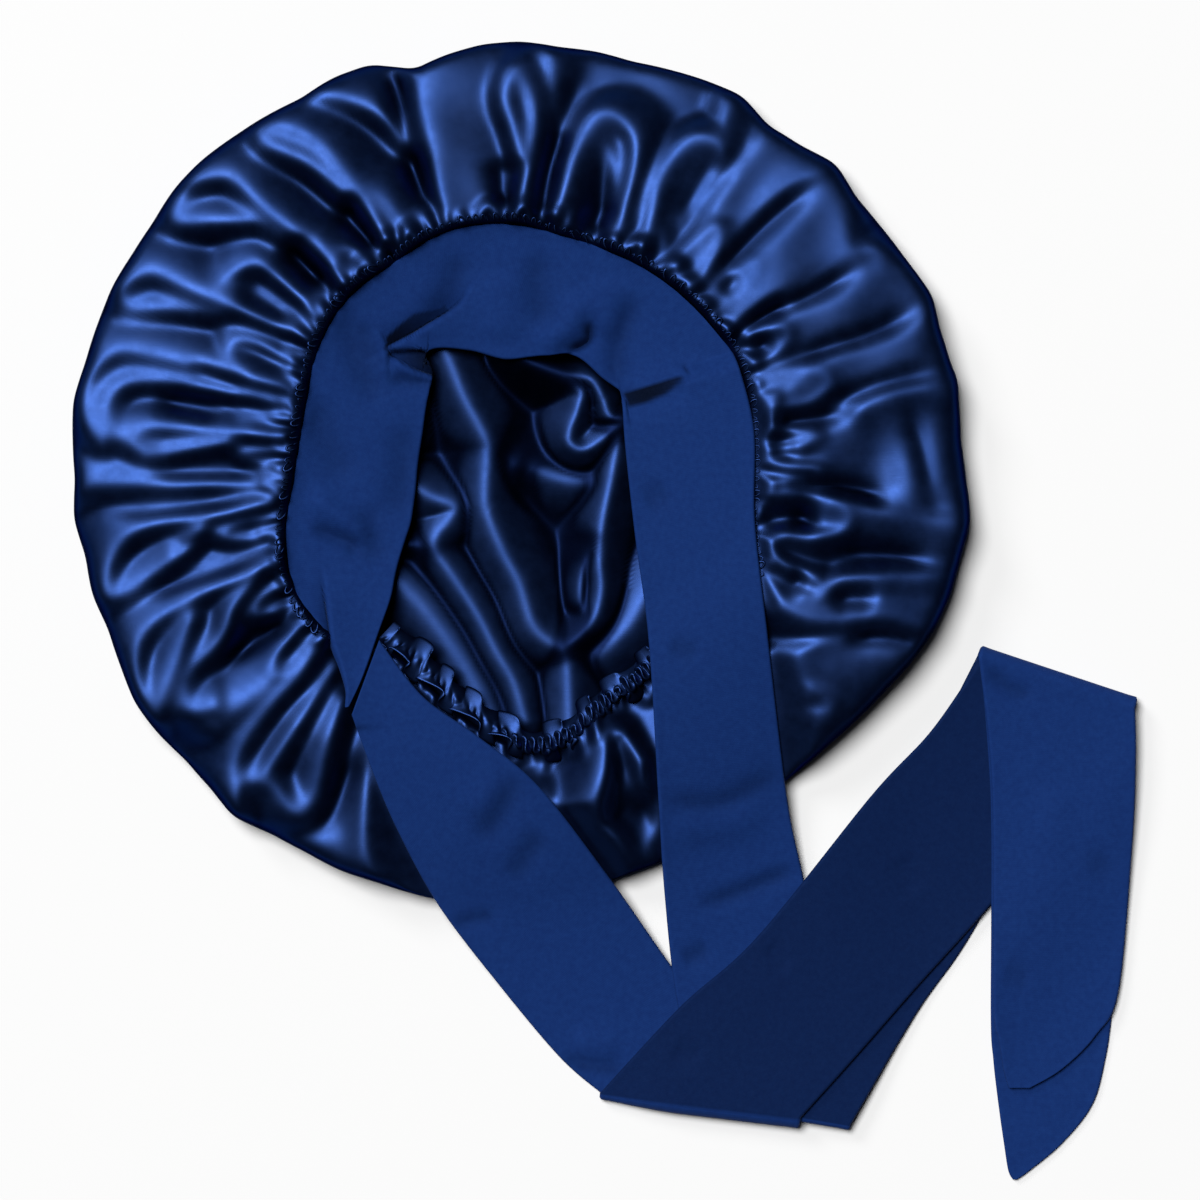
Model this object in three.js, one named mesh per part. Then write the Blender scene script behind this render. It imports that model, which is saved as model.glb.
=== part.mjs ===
// A satin bonnet laid flat with its opening up, its two jersey ties laid together and folded twice.
// Millimetres, +Z up. The middle of the crown rests on the floor at the origin, and the nape points along -Y.
import * as THREE from 'three';

// Cloth
const satinWall = 1.8;
const jerseyWall = 1.8;
const layerGap = 0.7;

// Heights above the floor
const mouthHeight = 20;
const bandSeat = 21.6;
const napeDrop = 7;
const napeMiddle = 276;
const napeReach = 62;
const napeFade = 12;
const casingHeight = 17;

// Crown
const samplesPerFold = 4;
const crestUnderTies = 3.2;
const rimOverhang = 6;
const tieDropLength = 22;

// Nape casing
const casingFrom = 226;
const casingTo = 327;
const casingRuffles = 21;
const casingSamplesPerRuffle = 4;
const casingOverlap = 0.5;
const headerNarrow = 8;
const headerWide = 14;
const ruffleHeight = 2.6;
const ruffleSway = 0.5;

// Band and ties
const bandStations = 54;
const acrossSamples = 5;
const legStep = 12;
const liftFull = 6;
const liftFade = 45;
const turnSteps = 3;
const edgeThinning = 0.35;

const satinBlue = 0x3c5fbe;
const jerseyBlue = 0x142b61;

// A table as rows of named columns
const table = (columns, rows) => (
  rows.map((row) => Object.fromEntries(columns.map((name, i) => [name, row[i]])))
);

// Radial folds of the top sheet, counter-clockwise from +X: where each crest leaves the gathered mouth, where
// it meets the rim, and how far it stands above and its valley lies below the middle of the sheet
const folds = table(['mouthAngle', 'mouthRadius', 'rimAngle', 'rimRadius', 'crest'], [
  [4, 91.5, 8, 176.5, 5],
  [18, 95.5, 18.5, 177.2, 6],
  [28, 97.5, 30, 176.6, 5],
  [35.5, 97.5, 36.5, 175, 5],
  [41, 97, 44.5, 176.8, 4],
  [51.5, 97, 52.5, 173.4, 6],
  [62.5, 97, 61, 176.2, 5],
  [74.5, 97, 78, 172.8, 8],
  [91.5, 101.5, 90, 174.6, 5],
  [101, 103, 98, 172.4, 7],
  [105.8, 102.8, 105, 169.4, 2],
  [110.5, 102, 113, 176.4, 5],
  [116, 100.5, 121.5, 175.4, 7],
  [122.5, 99, 128, 177.6, 5],
  [130, 99.6, 136, 179.6, 6],
  [136, 99, 143.5, 179, 5],
  [141.5, 97.5, 149.5, 178.8, 6],
  [147, 95.5, 156, 179.8, 6],
  [153, 93, 162.5, 179.4, 5],
  [159, 90.7, 169.5, 180.8, 6],
  [165.5, 89.5, 176, 178.8, 5],
  [173, 89.2, 182, 178, 6],
  [181, 90.3, 188.5, 177, 5],
  [187, 92.8, 196, 176.4, 6],
  [193.5, 96, 203, 175.4, 5],
  [200, 98.8, 210, 177.4, 6],
  [206.5, 99.8, 217, 175.6, 5],
  [213.5, 99.5, 224, 174.4, 6],
  [220.5, 97, 230, 175, 3.2],
  [228, 90, 238.5, 172, 3.2],
  [238, 86.5, 247.5, 171.6, 3.2],
  [249, 92.5, 256.5, 170.4, 3.2],
  [260, 100.5, 265.5, 168.5, 3.2],
  [271, 107, 275.5, 165.5, 3.2],
  [282, 103.5, 285, 163, 4],
  [292, 94.5, 294, 161, 3.2],
  [303, 92.5, 304, 159, 3.2],
  [314, 93, 314, 160.5, 3.2],
  [324, 96.5, 323.5, 164.5, 3.2],
  [331, 101, 331.5, 168.8, 3.2],
  [336.5, 101.5, 340, 175.4, 5],
  [344, 95.3, 347, 178.2, 5],
  [353, 91.8, 355.5, 179.2, 5],
]);

// The crown's section from the tucked mouth edge over the rim to the floor. place is 0 at the mouth and 1 at
// the rim, foldShare is how much of a fold shows there, and inset and drop carry the inside of the wall.
const crownSection = table(['place', 'height', 'foldShare', 'inset', 'drop'], [
  [-0.05, 19.2, 0.05, 0, satinWall],
  [0, mouthHeight, 0.12, 0, satinWall],
  [0.09, 20.5, 0.6, 0, satinWall],
  [0.24, 22.5, 1, 0, satinWall],
  [0.45, 23.5, 1, 0, satinWall],
  [0.66, 21.5, 0.75, 0, satinWall],
  [0.84, 17, 0.45, 0.6, 0.95 * satinWall],
  [0.95, 11.5, 0.18, 0.8 * satinWall, 0.6 * satinWall],
  [1, 5.5, 0, satinWall, 0],
  [0.96, 0, 0, 0.7 * satinWall, -satinWall],
]);

// Head band from the crease at the right corner, round the forehead, to the twist at its left end. The outer
// edge lies on the gathers and the inner edge reaches over the opening.
const bandColumns = ['outerAngle', 'outerRadius', 'innerAngle', 'innerRadius', 'outerSeat', 'innerSeat'];
const bandSections = table(bandColumns, [
  [30.6, 98, 41.5, 52.8, bandSeat, 19],
  [42, 97.3, 52, 51.6, bandSeat, 17.5],
  [55, 97.2, 67, 53.5, bandSeat, 17],
  [68, 97, 79, 49.8, bandSeat, 17],
  [82, 98.4, 97, 47.8, bandSeat, 17],
  [96, 102, 112, 55, bandSeat, 17],
  [109, 102.5, 124, 62, bandSeat, 18],
  [122, 99, 132, 60, bandSeat, 19],
  [136, 99, 135, 53.6, bandSeat, 18],
  [150, 94.3, 154, 43, bandSeat, 17],
  [165, 89.6, 180, 41.2, bandSeat, 17],
  [180, 90, 198, 45, bandSeat, 17],
  [195, 96.5, 208, 51.6, bandSeat, 17.5],
  [207, 99.8, 218, 63, bandSeat, 18.5],
  [217, 99, 223.5, 71.5, 22, 20],
  [225, 102.5, 228.5, 86.5, 24, 22],
  [230.5, 108, 231.5, 99, 26.5, 26],
  [232.8, 113.5, 233.2, 112.3, 27, 27],
]);

// Soft ridges that run across the band from its inner edge
const bandRidges = table(['angle', 'halfWidth', 'height'], [
  [57, 5, 2.4],
  [68, 6, 1.8],
  [83, 6, 2],
  [103, 6, 1.8],
  [205, 7, 2.6],
]);

// The legs of each tie between its folds, with both edges at each section
const legColumns = ['ax', 'ay', 'bx', 'by'];
const leftTieLegs = [
  table(legColumns, [
    [-66.4, -93.4, -55.6, -63.8],
    [-58.4, -116, -38.4, -86],
    [-48.4, -140, -16.4, -102],
    [-32.4, -170, 7.6, -122],
    [-8.4, -202, 36.4, -160],
    [15.6, -230.8, 67.6, -204],
    [31.6, -244.8, 111.6, -254.4],
  ]),
  table(legColumns, [
    [31.6, -244.8, 111.6, -254.4],
    [63.6, -210, 135.6, -228],
    [94.4, -182, 157.6, -203.2],
    [139.6, -126, 191.6, -165.2],
    [163.6, -100, 217.6, -130],
    [182.8, -72, 243.6, -92.8],
  ]),
  table(legColumns, [
    [182.8, -72, 243.6, -92.8],
    [186, -106, 244.8, -112],
    [187.6, -140, 243.6, -148],
    [187.6, -212, 236.8, -210],
    [188.8, -232, 233.6, -232],
    [191.2, -252, 228.4, -250],
    [193.2, -266, 216.4, -265.2],
    [194.8, -276, 203.6, -276],
    [196.6, -279.6, 198.6, -279.6],
  ]),
];
const rightTieLegs = [
  table(legColumns, [
    [40.2, 34, 85.2, 48.8],
    [41.6, 12, 92.4, 20],
    [45.6, -24, 92.8, -16],
    [50.8, -64, 97.2, -56],
    [54.8, -128, 106, -126],
    [57.2, -164, 112.8, -159.2],
    [61.6, -204, 120.4, -198],
    [70.4, -247.2, 131.6, -257.6],
  ]),
  table(legColumns, [
    [70.4, -247.2, 131.6, -257.6],
    [95.6, -216, 157.6, -214],
    [123.6, -180, 175.6, -188.8],
    [151.6, -140, 195.6, -156],
    [165.6, -104, 219.6, -124],
    [182, -70.4, 244.8, -91.2],
  ]),
  table(legColumns, [
    [182, -70.4, 244.8, -91.2],
    [186.4, -106, 245.2, -110],
    [188, -140, 244, -146],
    [188.4, -208, 238.8, -204],
    [190.8, -224, 229.6, -222],
    [192.8, -236, 216.4, -235.2],
    [194.8, -242.8, 203.6, -242.8],
  ]),
];

// The ties' legs from the floor up, as [tie, leg]: each lies on those before it
const stack = [['left', 0], ['right', 0], ['right', 1], ['left', 1], ['left', 2], ['right', 2]];
const legsOf = { left: leftTieLegs, right: rightTieLegs };

const radians = THREE.MathUtils.degToRad;
const mix = THREE.MathUtils.lerp;
const smooth = (value) => THREE.MathUtils.smoothstep(value, 0, 1);
const polar = (angle, radius, z) => new THREE.Vector3(
  radius * Math.cos(radians(angle)),
  radius * Math.sin(radians(angle)),
  z,
);

// Value of a column at an angle, straight between the rows on either side, round the full circle
function around(rows, angleColumn, valueColumn, angle) {
  const turned = ((angle - rows[0][angleColumn]) % 360 + 360) % 360;
  for (let i = 0; i < rows.length; i += 1) {
    const next = rows[(i + 1) % rows.length];
    const span = (next[angleColumn] - rows[i][angleColumn] + 360) % 360;
    const start = (rows[i][angleColumn] - rows[0][angleColumn] + 360) % 360;
    if (turned <= start + span) {
      return mix(rows[i][valueColumn], next[valueColumn], (turned - start) / span);
    }
  }
  return rows[0][valueColumn];
}

// Smooth value of a column at a place from 0 to 1 along the table
function along(rows, column, place) {
  const scaled = place * (rows.length - 1);
  const i = Math.min(Math.floor(scaled), rows.length - 2);
  const value = (k) => rows[Math.max(0, Math.min(rows.length - 1, k))][column];
  const t = scaled - i;
  const pull = 0.5;
  const before = pull * (value(i + 1) - value(i - 1));
  const after = pull * (value(i + 2) - value(i));
  const rest = value(i + 1) - value(i);
  const bend = 3 * rest - 2 * before - after;
  return value(i) + t * before + t * t * bend + t * t * t * (before + after - 2 * rest);
}

// How far the nape lies below the forehead, 1 in the middle of the nape and 0 past its ends
function napeShare(angle) {
  const away = Math.abs(((angle % 360) + 360) % 360 - napeMiddle);
  return smooth((napeReach - away) / napeFade);
}

// A solid from rings of points: each ring closes on itself, and a ring of one point closes an end
function ringSolid(rings) {
  const points = rings.flat();
  const triangles = [];
  let start = 0;
  for (let i = 0; i < rings.length - 1; i += 1) {
    const here = rings[i].length;
    const there = rings[i + 1].length;
    const next = start + here;
    const count = Math.max(here, there);
    for (let j = 0; j < count; j += 1) {
      const a = start + (here === 1 ? 0 : j);
      const b = start + (here === 1 ? 0 : (j + 1) % here);
      const c = next + (there === 1 ? 0 : j);
      const d = next + (there === 1 ? 0 : (j + 1) % there);
      if (a !== b) triangles.push(a, b, c);
      if (c !== d) triangles.push(b, d, c);
    }
    start = next;
  }
  return meshGeometry(points, triangles);
}

// A flat strip of cloth as a solid: sections of its two faces, closed along both edges and at both ends
function stripSolid(sections) {
  const rings = sections.map(({ top, bottom }) => [...top, ...bottom.slice().reverse()]);
  const points = rings.flat();
  const size = rings[0].length;
  const triangles = [];
  for (let i = 0; i < rings.length - 1; i += 1) {
    for (let j = 0; j < size; j += 1) {
      const a = i * size + j;
      const b = i * size + (j + 1) % size;
      triangles.push(a, b, a + size, b, b + size, a + size);
    }
  }
  const endCap = (base, flip) => {
    for (let j = 0; j < size / 2 - 1; j += 1) {
      const [a, b, c, d] = [base + j, base + j + 1, base + size - 2 - j, base + size - 1 - j];
      triangles.push(...(flip ? [a, b, c, a, c, d] : [a, c, b, a, d, c]));
    }
  };
  endCap(0, false);
  endCap((rings.length - 1) * size, true);
  return meshGeometry(points, triangles);
}

// Geometry with its faces turned outward
function meshGeometry(points, triangles) {
  let volume = 0;
  for (let i = 0; i < triangles.length; i += 3) {
    const [a, b, c] = [points[triangles[i]], points[triangles[i + 1]], points[triangles[i + 2]]];
    volume += a.dot(b.clone().cross(c));
  }
  const ordered = volume > 0 ? triangles : triangles.slice().reverse();
  const geometry = new THREE.BufferGeometry().setFromPoints(points);
  geometry.setIndex(ordered);
  geometry.computeVertexNormals();
  return geometry;
}

// Satin crown: rings of the outside from the floor to the mouth edge, then of the inside back to the floor
function satinCrown() {
  const columns = [];
  folds.forEach((fold, i) => {
    const next = folds[(i + 1) % folds.length];
    const turn = next.mouthAngle < fold.mouthAngle ? 360 : 0;
    for (let k = 0; k < samplesPerFold; k += 1) {
      const t = k / samplesPerFold;
      columns.push({
        mouthAngle: mix(fold.mouthAngle, next.mouthAngle + turn, t),
        mouthRadius: mix(fold.mouthRadius, next.mouthRadius, t),
        rimAngle: mix(fold.rimAngle, next.rimAngle + turn, t),
        rimRadius: mix(fold.rimRadius, next.rimRadius, t),
        lift: mix(fold.crest, next.crest, t) * Math.cos(2 * Math.PI * t),
      });
    }
  });
  const pointAt = (column, row, inside) => {
    const mouth = polar(column.mouthAngle, column.mouthRadius, 0);
    const rim = polar(column.rimAngle, column.rimRadius, 0);
    const point = mouth.lerp(rim, row.place);
    const sag = napeDrop * napeShare(column.mouthAngle) * smooth(1 - 2 * Math.max(row.place, 0));
    point.z = row.height - sag + row.foldShare * column.lift;
    if (inside) {
      const reach = Math.hypot(point.x, point.y);
      point.x *= 1 - row.inset / reach;
      point.y *= 1 - row.inset / reach;
      point.z -= row.drop;
    }
    return point;
  };
  const ring = (row, inside) => columns.map((column) => pointAt(column, row, inside));
  const outside = crownSection.map((row) => ring(row, false)).reverse();
  const inside = crownSection.map((row) => ring(row, true));
  return ringSolid([[new THREE.Vector3()], ...outside, ...inside, [new THREE.Vector3(0, 0, satinWall)]]);
}

// Height of what lies under a tie at a point of the plan: the satin, then the floor past the rim
function satinSeat(x, y) {
  const angle = THREE.MathUtils.radToDeg(Math.atan2(y, x));
  const radius = Math.hypot(x, y);
  const mouth = around(folds, 'mouthAngle', 'mouthRadius', angle);
  const rim = around(folds, 'rimAngle', 'rimRadius', angle);
  const heightAt = (reach) => {
    const place = (reach - mouth) / (rim - mouth);
    if (place <= 0) return bandSeat;
    const rows = crownSection.slice(1, -1);
    const upper = rows.findIndex((row) => row.place >= place);
    if (upper < 1) return 0;
    const [low, high] = [rows[upper - 1], rows[upper]];
    const t = (place - low.place) / (high.place - low.place);
    const crest = mix(low.foldShare, high.foldShare, t) * crestUnderTies;
    return Math.max(mix(low.height, high.height, t) + crest + layerGap, place < 0.3 ? bandSeat : 0);
  };
  const beyond = radius - rim - rimOverhang;
  if (beyond > 0) return mix(crownSection.at(-2).height, 0, smooth(beyond / tieDropLength));
  return Math.max(heightAt(radius), heightAt(radius - rimOverhang));
}

// Distance in the plan from a point to a leg's outline, 0 inside it
function distanceToLeg(rows, x, y) {
  const outline = [
    ...rows.map((row) => new THREE.Vector2(row.ax, row.ay)),
    ...rows.map((row) => new THREE.Vector2(row.bx, row.by)).reverse(),
  ];
  const point = new THREE.Vector2(x, y);
  let inside = false;
  let nearest = Infinity;
  outline.forEach((p, i) => {
    const q = outline[(i + 1) % outline.length];
    if ((p.y > y) !== (q.y > y) && x < p.x + (q.x - p.x) * (y - p.y) / (q.y - p.y)) inside = !inside;
    const edge = q.clone().sub(p);
    const t = THREE.MathUtils.clamp(point.clone().sub(p).dot(edge) / edge.lengthSq(), 0, 1);
    nearest = Math.min(nearest, point.distanceTo(p.clone().addScaledVector(edge, t)));
  });
  return inside ? 0 : nearest;
}

// Height of a leg's middle at a point of the plan, on the satin or the floor and on every leg below it
function legHeight(tie, leg, x, y) {
  const level = stack.findIndex(([name, index]) => name === tie && index === leg);
  const lift = stack.slice(0, level).reduce((sum, [name, index]) => {
    const distance = distanceToLeg(legsOf[name][index], x, y);
    return sum + (jerseyWall + layerGap) * (1 - smooth((distance - liftFull) / liftFade));
  }, 0);
  return satinSeat(x, y) + lift + jerseyWall / 2;
}

// One tie: a flat strip that runs through its legs and turns over at each fold
function tieStrip(tie) {
  const legs = legsOf[tie];
  const sections = [];
  const shares = Array.from({ length: acrossSamples }, (_, k) => k / (acrossSamples - 1));
  const thickness = (share) => jerseyWall * (1 - edgeThinning * Math.abs(2 * share - 1) ** 3) / 2;
  const addSection = (middles, normals) => sections.push({
    top: middles.map((p, k) => p.clone().addScaledVector(normals[k], thickness(shares[k]))),
    bottom: middles.map((p, k) => p.clone().addScaledVector(normals[k], -thickness(shares[k]))),
  });
  legs.forEach((rows, leg) => {
    const side = leg % 2 === 0 ? 1 : -1;
    const length = rows.slice(1).reduce((sum, row, i) => sum + Math.hypot(
      (row.ax + row.bx - rows[i].ax - rows[i].bx) / 2,
      (row.ay + row.by - rows[i].ay - rows[i].by) / 2,
    ), 0);
    const steps = Math.round(length / legStep);
    const pointAt = (place, share) => {
      const x = mix(along(rows, 'ax', place), along(rows, 'bx', place), share);
      const y = mix(along(rows, 'ay', place), along(rows, 'by', place), share);
      return new THREE.Vector3(x, y, legHeight(tie, leg, x, y));
    };
    for (let i = 0; i <= steps; i += 1) {
      const middles = shares.map((share) => pointAt(i / steps, share));
      addSection(middles, shares.map(() => new THREE.Vector3(0, 0, side)));
    }
    if (leg === legs.length - 1) return;
    const { ax, ay, bx, by } = rows.at(-1);
    const outward = new THREE.Vector3(by - ay, ax - bx, 0).normalize();
    const before = new THREE.Vector3(rows[0].ax - ax, rows[0].ay - ay, 0);
    if (outward.dot(before) > 0) outward.negate();
    for (let i = 1; i <= turnSteps; i += 1) {
      const turn = Math.PI * i / (turnSteps + 1);
      const normals = [];
      const middles = shares.map((share) => {
        const [x, y] = [mix(ax, bx, share), mix(ay, by, share)];
        const low = legHeight(tie, leg, x, y);
        const high = legHeight(tie, leg + 1, x, y);
        const radius = (high - low) / 2;
        normals.push(new THREE.Vector3(0, 0, Math.cos(turn)).addScaledVector(outward, -Math.sin(turn))
          .multiplyScalar(side));
        return new THREE.Vector3(x, y, low + radius - radius * Math.cos(turn))
          .addScaledVector(outward, radius * Math.sin(turn));
      });
      addSection(middles, normals);
    }
  });
  return stripSolid(sections);
}

// Head band: a flat strip laid inward from the gathers
function headBand() {
  const sections = [];
  for (let i = 0; i <= bandStations; i += 1) {
    const place = i / bandStations;
    const value = (column) => along(bandSections, column, place);
    const outer = polar(value('outerAngle'), value('outerRadius'), value('outerSeat'));
    const inner = polar(value('innerAngle'), value('innerRadius'), value('innerSeat'));
    const top = [];
    const bottom = [];
    for (let k = 0; k < acrossSamples; k += 1) {
      const share = k / (acrossSamples - 1);
      const point = outer.clone().lerp(inner, share);
      const angle = mix(value('outerAngle'), value('innerAngle'), share);
      const ridges = bandRidges.reduce((sum, ridge) => (
        sum + ridge.height * Math.exp(-(((angle - ridge.angle) / ridge.halfWidth) ** 2))
      ), 0);
      point.z += smooth(2 * share) * ridges;
      const thinned = jerseyWall * (1 - edgeThinning * Math.abs(2 * share - 1) ** 3);
      bottom.push(point);
      top.push(point.clone().setZ(point.z + thinned));
    }
    sections.push({ top, bottom });
  }
  return stripSolid(sections);
}

// Nape casing: a ruffled strip on the satin's edge, with its frill standing inward
function napeCasing() {
  const sections = [];
  const steps = casingRuffles * casingSamplesPerRuffle;
  for (let i = 0; i <= steps; i += 1) {
    const angle = mix(casingFrom, casingTo, i / steps);
    const mouth = around(folds, 'mouthAngle', 'mouthRadius', angle);
    const header = mix(headerWide, headerNarrow, smooth((angle - 255) / 20));
    const wave = Math.sin(2 * Math.PI * i / casingSamplesPerRuffle);
    const radii = [mouth + casingOverlap, mouth - headerNarrow / 2, mouth - header];
    const waves = [0.3, 0.5, 1];
    const lifts = [0, 0.6, 0.2];
    const top = radii.map((radius, k) => {
      const sway = waves[k] * wave;
      return polar(angle + ruffleSway * sway, radius, casingHeight + lifts[k] + ruffleHeight * sway);
    });
    const bottom = top.map((point) => point.clone().setZ(point.z - satinWall));
    sections.push({ top, bottom });
  }
  return stripSolid(sections);
}

function clothPiece(name, geometry, color, roughness, metalness) {
  const material = new THREE.MeshStandardMaterial({ color, roughness, metalness });
  const mesh = new THREE.Mesh(geometry, material);
  mesh.name = name;
  return mesh;
}

const bonnet = new THREE.Group();
bonnet.name = 'satin_bonnet';
bonnet.add(
  clothPiece('satin_crown', satinCrown(), satinBlue, 0.3, 0.35),
  clothPiece('head_band', headBand(), jerseyBlue, 0.85, 0),
  clothPiece('nape_casing', napeCasing(), satinBlue, 0.3, 0.35),
  clothPiece('left_tie', tieStrip('left'), jerseyBlue, 0.85, 0),
  clothPiece('right_tie', tieStrip('right'), jerseyBlue, 0.85, 0),
);

export default bonnet;
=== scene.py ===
import math

import bpy
import numpy as np
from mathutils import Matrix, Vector


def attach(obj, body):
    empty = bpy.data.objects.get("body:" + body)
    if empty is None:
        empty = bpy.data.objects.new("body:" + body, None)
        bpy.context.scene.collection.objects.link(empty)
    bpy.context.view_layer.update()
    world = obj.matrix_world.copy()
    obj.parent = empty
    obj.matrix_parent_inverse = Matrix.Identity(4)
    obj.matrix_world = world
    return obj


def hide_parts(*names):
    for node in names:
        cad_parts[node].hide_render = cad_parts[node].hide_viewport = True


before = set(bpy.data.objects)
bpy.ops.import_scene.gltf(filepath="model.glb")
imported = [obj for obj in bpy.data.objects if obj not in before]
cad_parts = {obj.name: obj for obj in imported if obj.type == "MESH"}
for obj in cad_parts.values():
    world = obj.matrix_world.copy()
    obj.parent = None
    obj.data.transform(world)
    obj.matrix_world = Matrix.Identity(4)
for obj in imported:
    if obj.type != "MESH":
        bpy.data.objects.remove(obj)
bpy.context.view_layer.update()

mm = 0.001
print("frame loaded:", sorted(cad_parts))


# Small maths shared by the pieces

def rowsOf(columns, rows):
    return {name: np.array([row[i] for row in rows], float) for i, name in enumerate(columns)}


# Smooth curve through a table's rows, at places counted in rows
def spline(values, place):
    values = np.asarray(values, float)
    base = np.clip(np.floor(place).astype(int), 0, len(values) - 2)
    t = place - base
    if values.ndim > 1:
        t = t[..., None]
    a, b, c, d = (values[np.clip(base + step, 0, len(values) - 1)] for step in (-1, 0, 1, 2))
    return b + 0.5 * t * (c - a + t * (2 * a - 5 * b + 4 * c - d + t * (3 * (b - c) + d - a)))


def smooth(value):
    value = np.clip(value, 0, 1)
    return value * value * (3 - 2 * value)


def mix(a, b, t):
    return a + (b - a) * t


def polar(angle, radius):
    return radius * np.cos(np.radians(angle)), radius * np.sin(np.radians(angle))


def lengthAlong(steps):
    return np.concatenate([[0], np.cumsum(steps)])


# Pieces of a smooth path: start, run, and the places from 0 to 1 where each begins and ends
def pathSegments(path):
    path = np.array(path, float)
    fine = spline(path, np.linspace(0, len(path) - 1, 5 * (len(path) - 1) + 1))
    lengths = lengthAlong(np.hypot(*np.diff(fine, axis=0).T))
    for i in range(len(fine) - 1):
        yield fine[i], fine[i + 1] - fine[i], lengths[i] / lengths[-1], lengths[i + 1] / lengths[-1]


def footOn(x, y, start, edge):
    t = np.clip(((x - start[0]) * edge[0] + (y - start[1]) * edge[1]) / (edge @ edge), 0, 1)
    return t, start[0] + t * edge[0], start[1] + t * edge[1]


# Distance in the plan to a smooth path, the place from 0 to 1 along it, and 1 on its left or -1 on its right
def pathDistance(x, y, path):
    best = np.full_like(x, 1e9)
    place = np.zeros_like(x)
    side = np.ones_like(x)
    for start, edge, before, after in pathSegments(path):
        t, footX, footY = footOn(x, y, start, edge)
        distance = np.hypot(x - footX, y - footY)
        nearer = distance < best
        place[nearer] = mix(before, after, t)[nearer]
        side[nearer] = np.sign(edge[0] * (y - start[1]) - edge[1] * (x - start[0]))[nearer]
        best = np.minimum(best, distance)
    return best, place, side


def nearPath(x, y, path, reach):
    path = np.array(path, float)
    low, high = path.min(0) - reach, path.max(0) + reach
    return (x > low[0]) & (x < high[0]) & (y > low[1]) & (y < high[1])


# Height that soft ridges add at points of the plan: rows of height, half width and path in mm.
# A negative height is a valley, and each end fades over a share of the length.
def ridgeHeight(x, y, ridges, power=2, fade=0.3):
    total = np.zeros_like(x)
    for height, width, path in ridges:
        near = nearPath(x, y, path, 3.2 * width)
        distance, place, _ = pathDistance(x[near], y[near], path)
        ends = smooth(place / fade) * smooth((1 - place) / fade)
        total[near] += height * ends * np.exp(-(distance / width) ** power)
    return total


# Pleats that lean one way and meet in valleys. From its round crest each falls by its "gentle" slope on the
# clockwise side and by its "steep" slope on the other, and narrows towards the opening if it has "narrowAt".
# Crests blend where they meet, and the ground between them is never lower than "base".
def foldHeight(x, y, crests, base, blend):
    total = np.exp(np.full_like(x, base - 6) / blend)
    for crest in crests:
        near = nearPath(x, y, crest["path"], crest["span"])
        nearX, nearY = x[near], y[near]
        highest = np.full_like(nearX, base - 6)
        for start, run, before, after in pathSegments(crest["path"]):
            t, footX, footY = footOn(nearX, nearY, start, run)
            distance = np.hypot(nearX - footX, nearY - footY)
            spin = (footX * nearY - footY * nearX) / (np.hypot(footX, footY) * distance + 1e-6)
            widen = 1
            if crest["narrowAt"]:
                widen = np.clip((np.hypot(footX, footY) - crest["narrowAt"]) / crownCut["narrowOver"],
                                crownCut["narrowest"], crownCut["widest"])
            width, edge = crest["width"] * widen, crest["edge"] * widen
            gentle = crest["gentle"] * (np.sqrt(distance ** 2 + width ** 2) - width)
            steep = crest["steep"] * (np.sqrt(distance ** 2 + edge ** 2) - edge)
            fall = mix(gentle, steep, smooth(0.5 + 0.5 * spin))
            top = crest["height"] * mix(1, crest["endShare"], smooth(mix(before, after, t)))
            highest = np.maximum(highest, top - fall)
        total[near] += np.exp(highest / blend)
    height = blend * np.log(total)
    bottom = crownCut["bottomRound"]
    return base + bottom * np.log1p(np.exp((height - base) / bottom))


# The points near a step along a path: their distance to it, its strength there, and how far left they lie
def nearStep(x, y, step, reach):
    near = nearPath(x, y, step["path"], reach)
    distance, place, side = pathDistance(x[near], y[near], step["path"])
    strength = smooth(place / step["startFade"]) * smooth((1 - place) / step["endFade"])
    return near, distance, strength, side * distance


# A step is higher to its left: the cloth there lies over the cloth to the right
def stepHeight(x, y, steps):
    total = np.zeros_like(x)
    for step in steps:
        reach = 3 * max(step["highReach"], step["lowReach"])
        near, distance, strength, left = nearStep(x, y, step, reach)
        high = step["high"] * np.exp(-(distance / step["highReach"]) ** 1.5)
        low = -step["low"] * np.exp(-(distance / step["lowReach"]) ** 1.5)
        total[near] += strength * mix(low, high, smooth(0.5 + left))
    return total


# Painted shade below such a step, from 0 to 1, where the upper cloth would shadow the lower
def stepShade(x, y, steps):
    total = np.zeros_like(x)
    for step in steps:
        near, distance, strength, left = nearStep(x, y, step, 4 * step["shadeReach"])
        dark = step["shade"] * strength * np.exp(-(distance / step["shadeReach"]) ** step["shadePower"])
        total[near] = np.maximum(total[near], dark * smooth(0.5 - left))
    return total


# Unit normals of a grid of points, turned upwards
def surfaceNormals(grid, closedAcross=False):
    along = np.gradient(grid, axis=0)
    across = np.gradient(grid, axis=1)
    if closedAcross:
        across = (np.roll(grid, -1, axis=1) - np.roll(grid, 1, axis=1)) / 2
    normal = np.cross(along, across)
    normal /= np.linalg.norm(normal, axis=-1, keepdims=True) + 1e-9
    return -normal if normal[len(normal) // 3, :, 2].mean() < 0 else normal


# Four-sided faces between the rows of a grid of point numbers that is closed across its columns
def ringFaces(index, corners=(0, 1, 2, 3)):
    a, b = index[:-1], index[1:]
    faces = np.stack([a, np.roll(a, -1, 1), np.roll(b, -1, 1), b], axis=-1)
    return faces[..., list(corners)].reshape(-1, 4).tolist()


def addObject(name, data):
    item = bpy.data.objects.new(name, data)
    bpy.context.scene.collection.objects.link(item)
    return item
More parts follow.
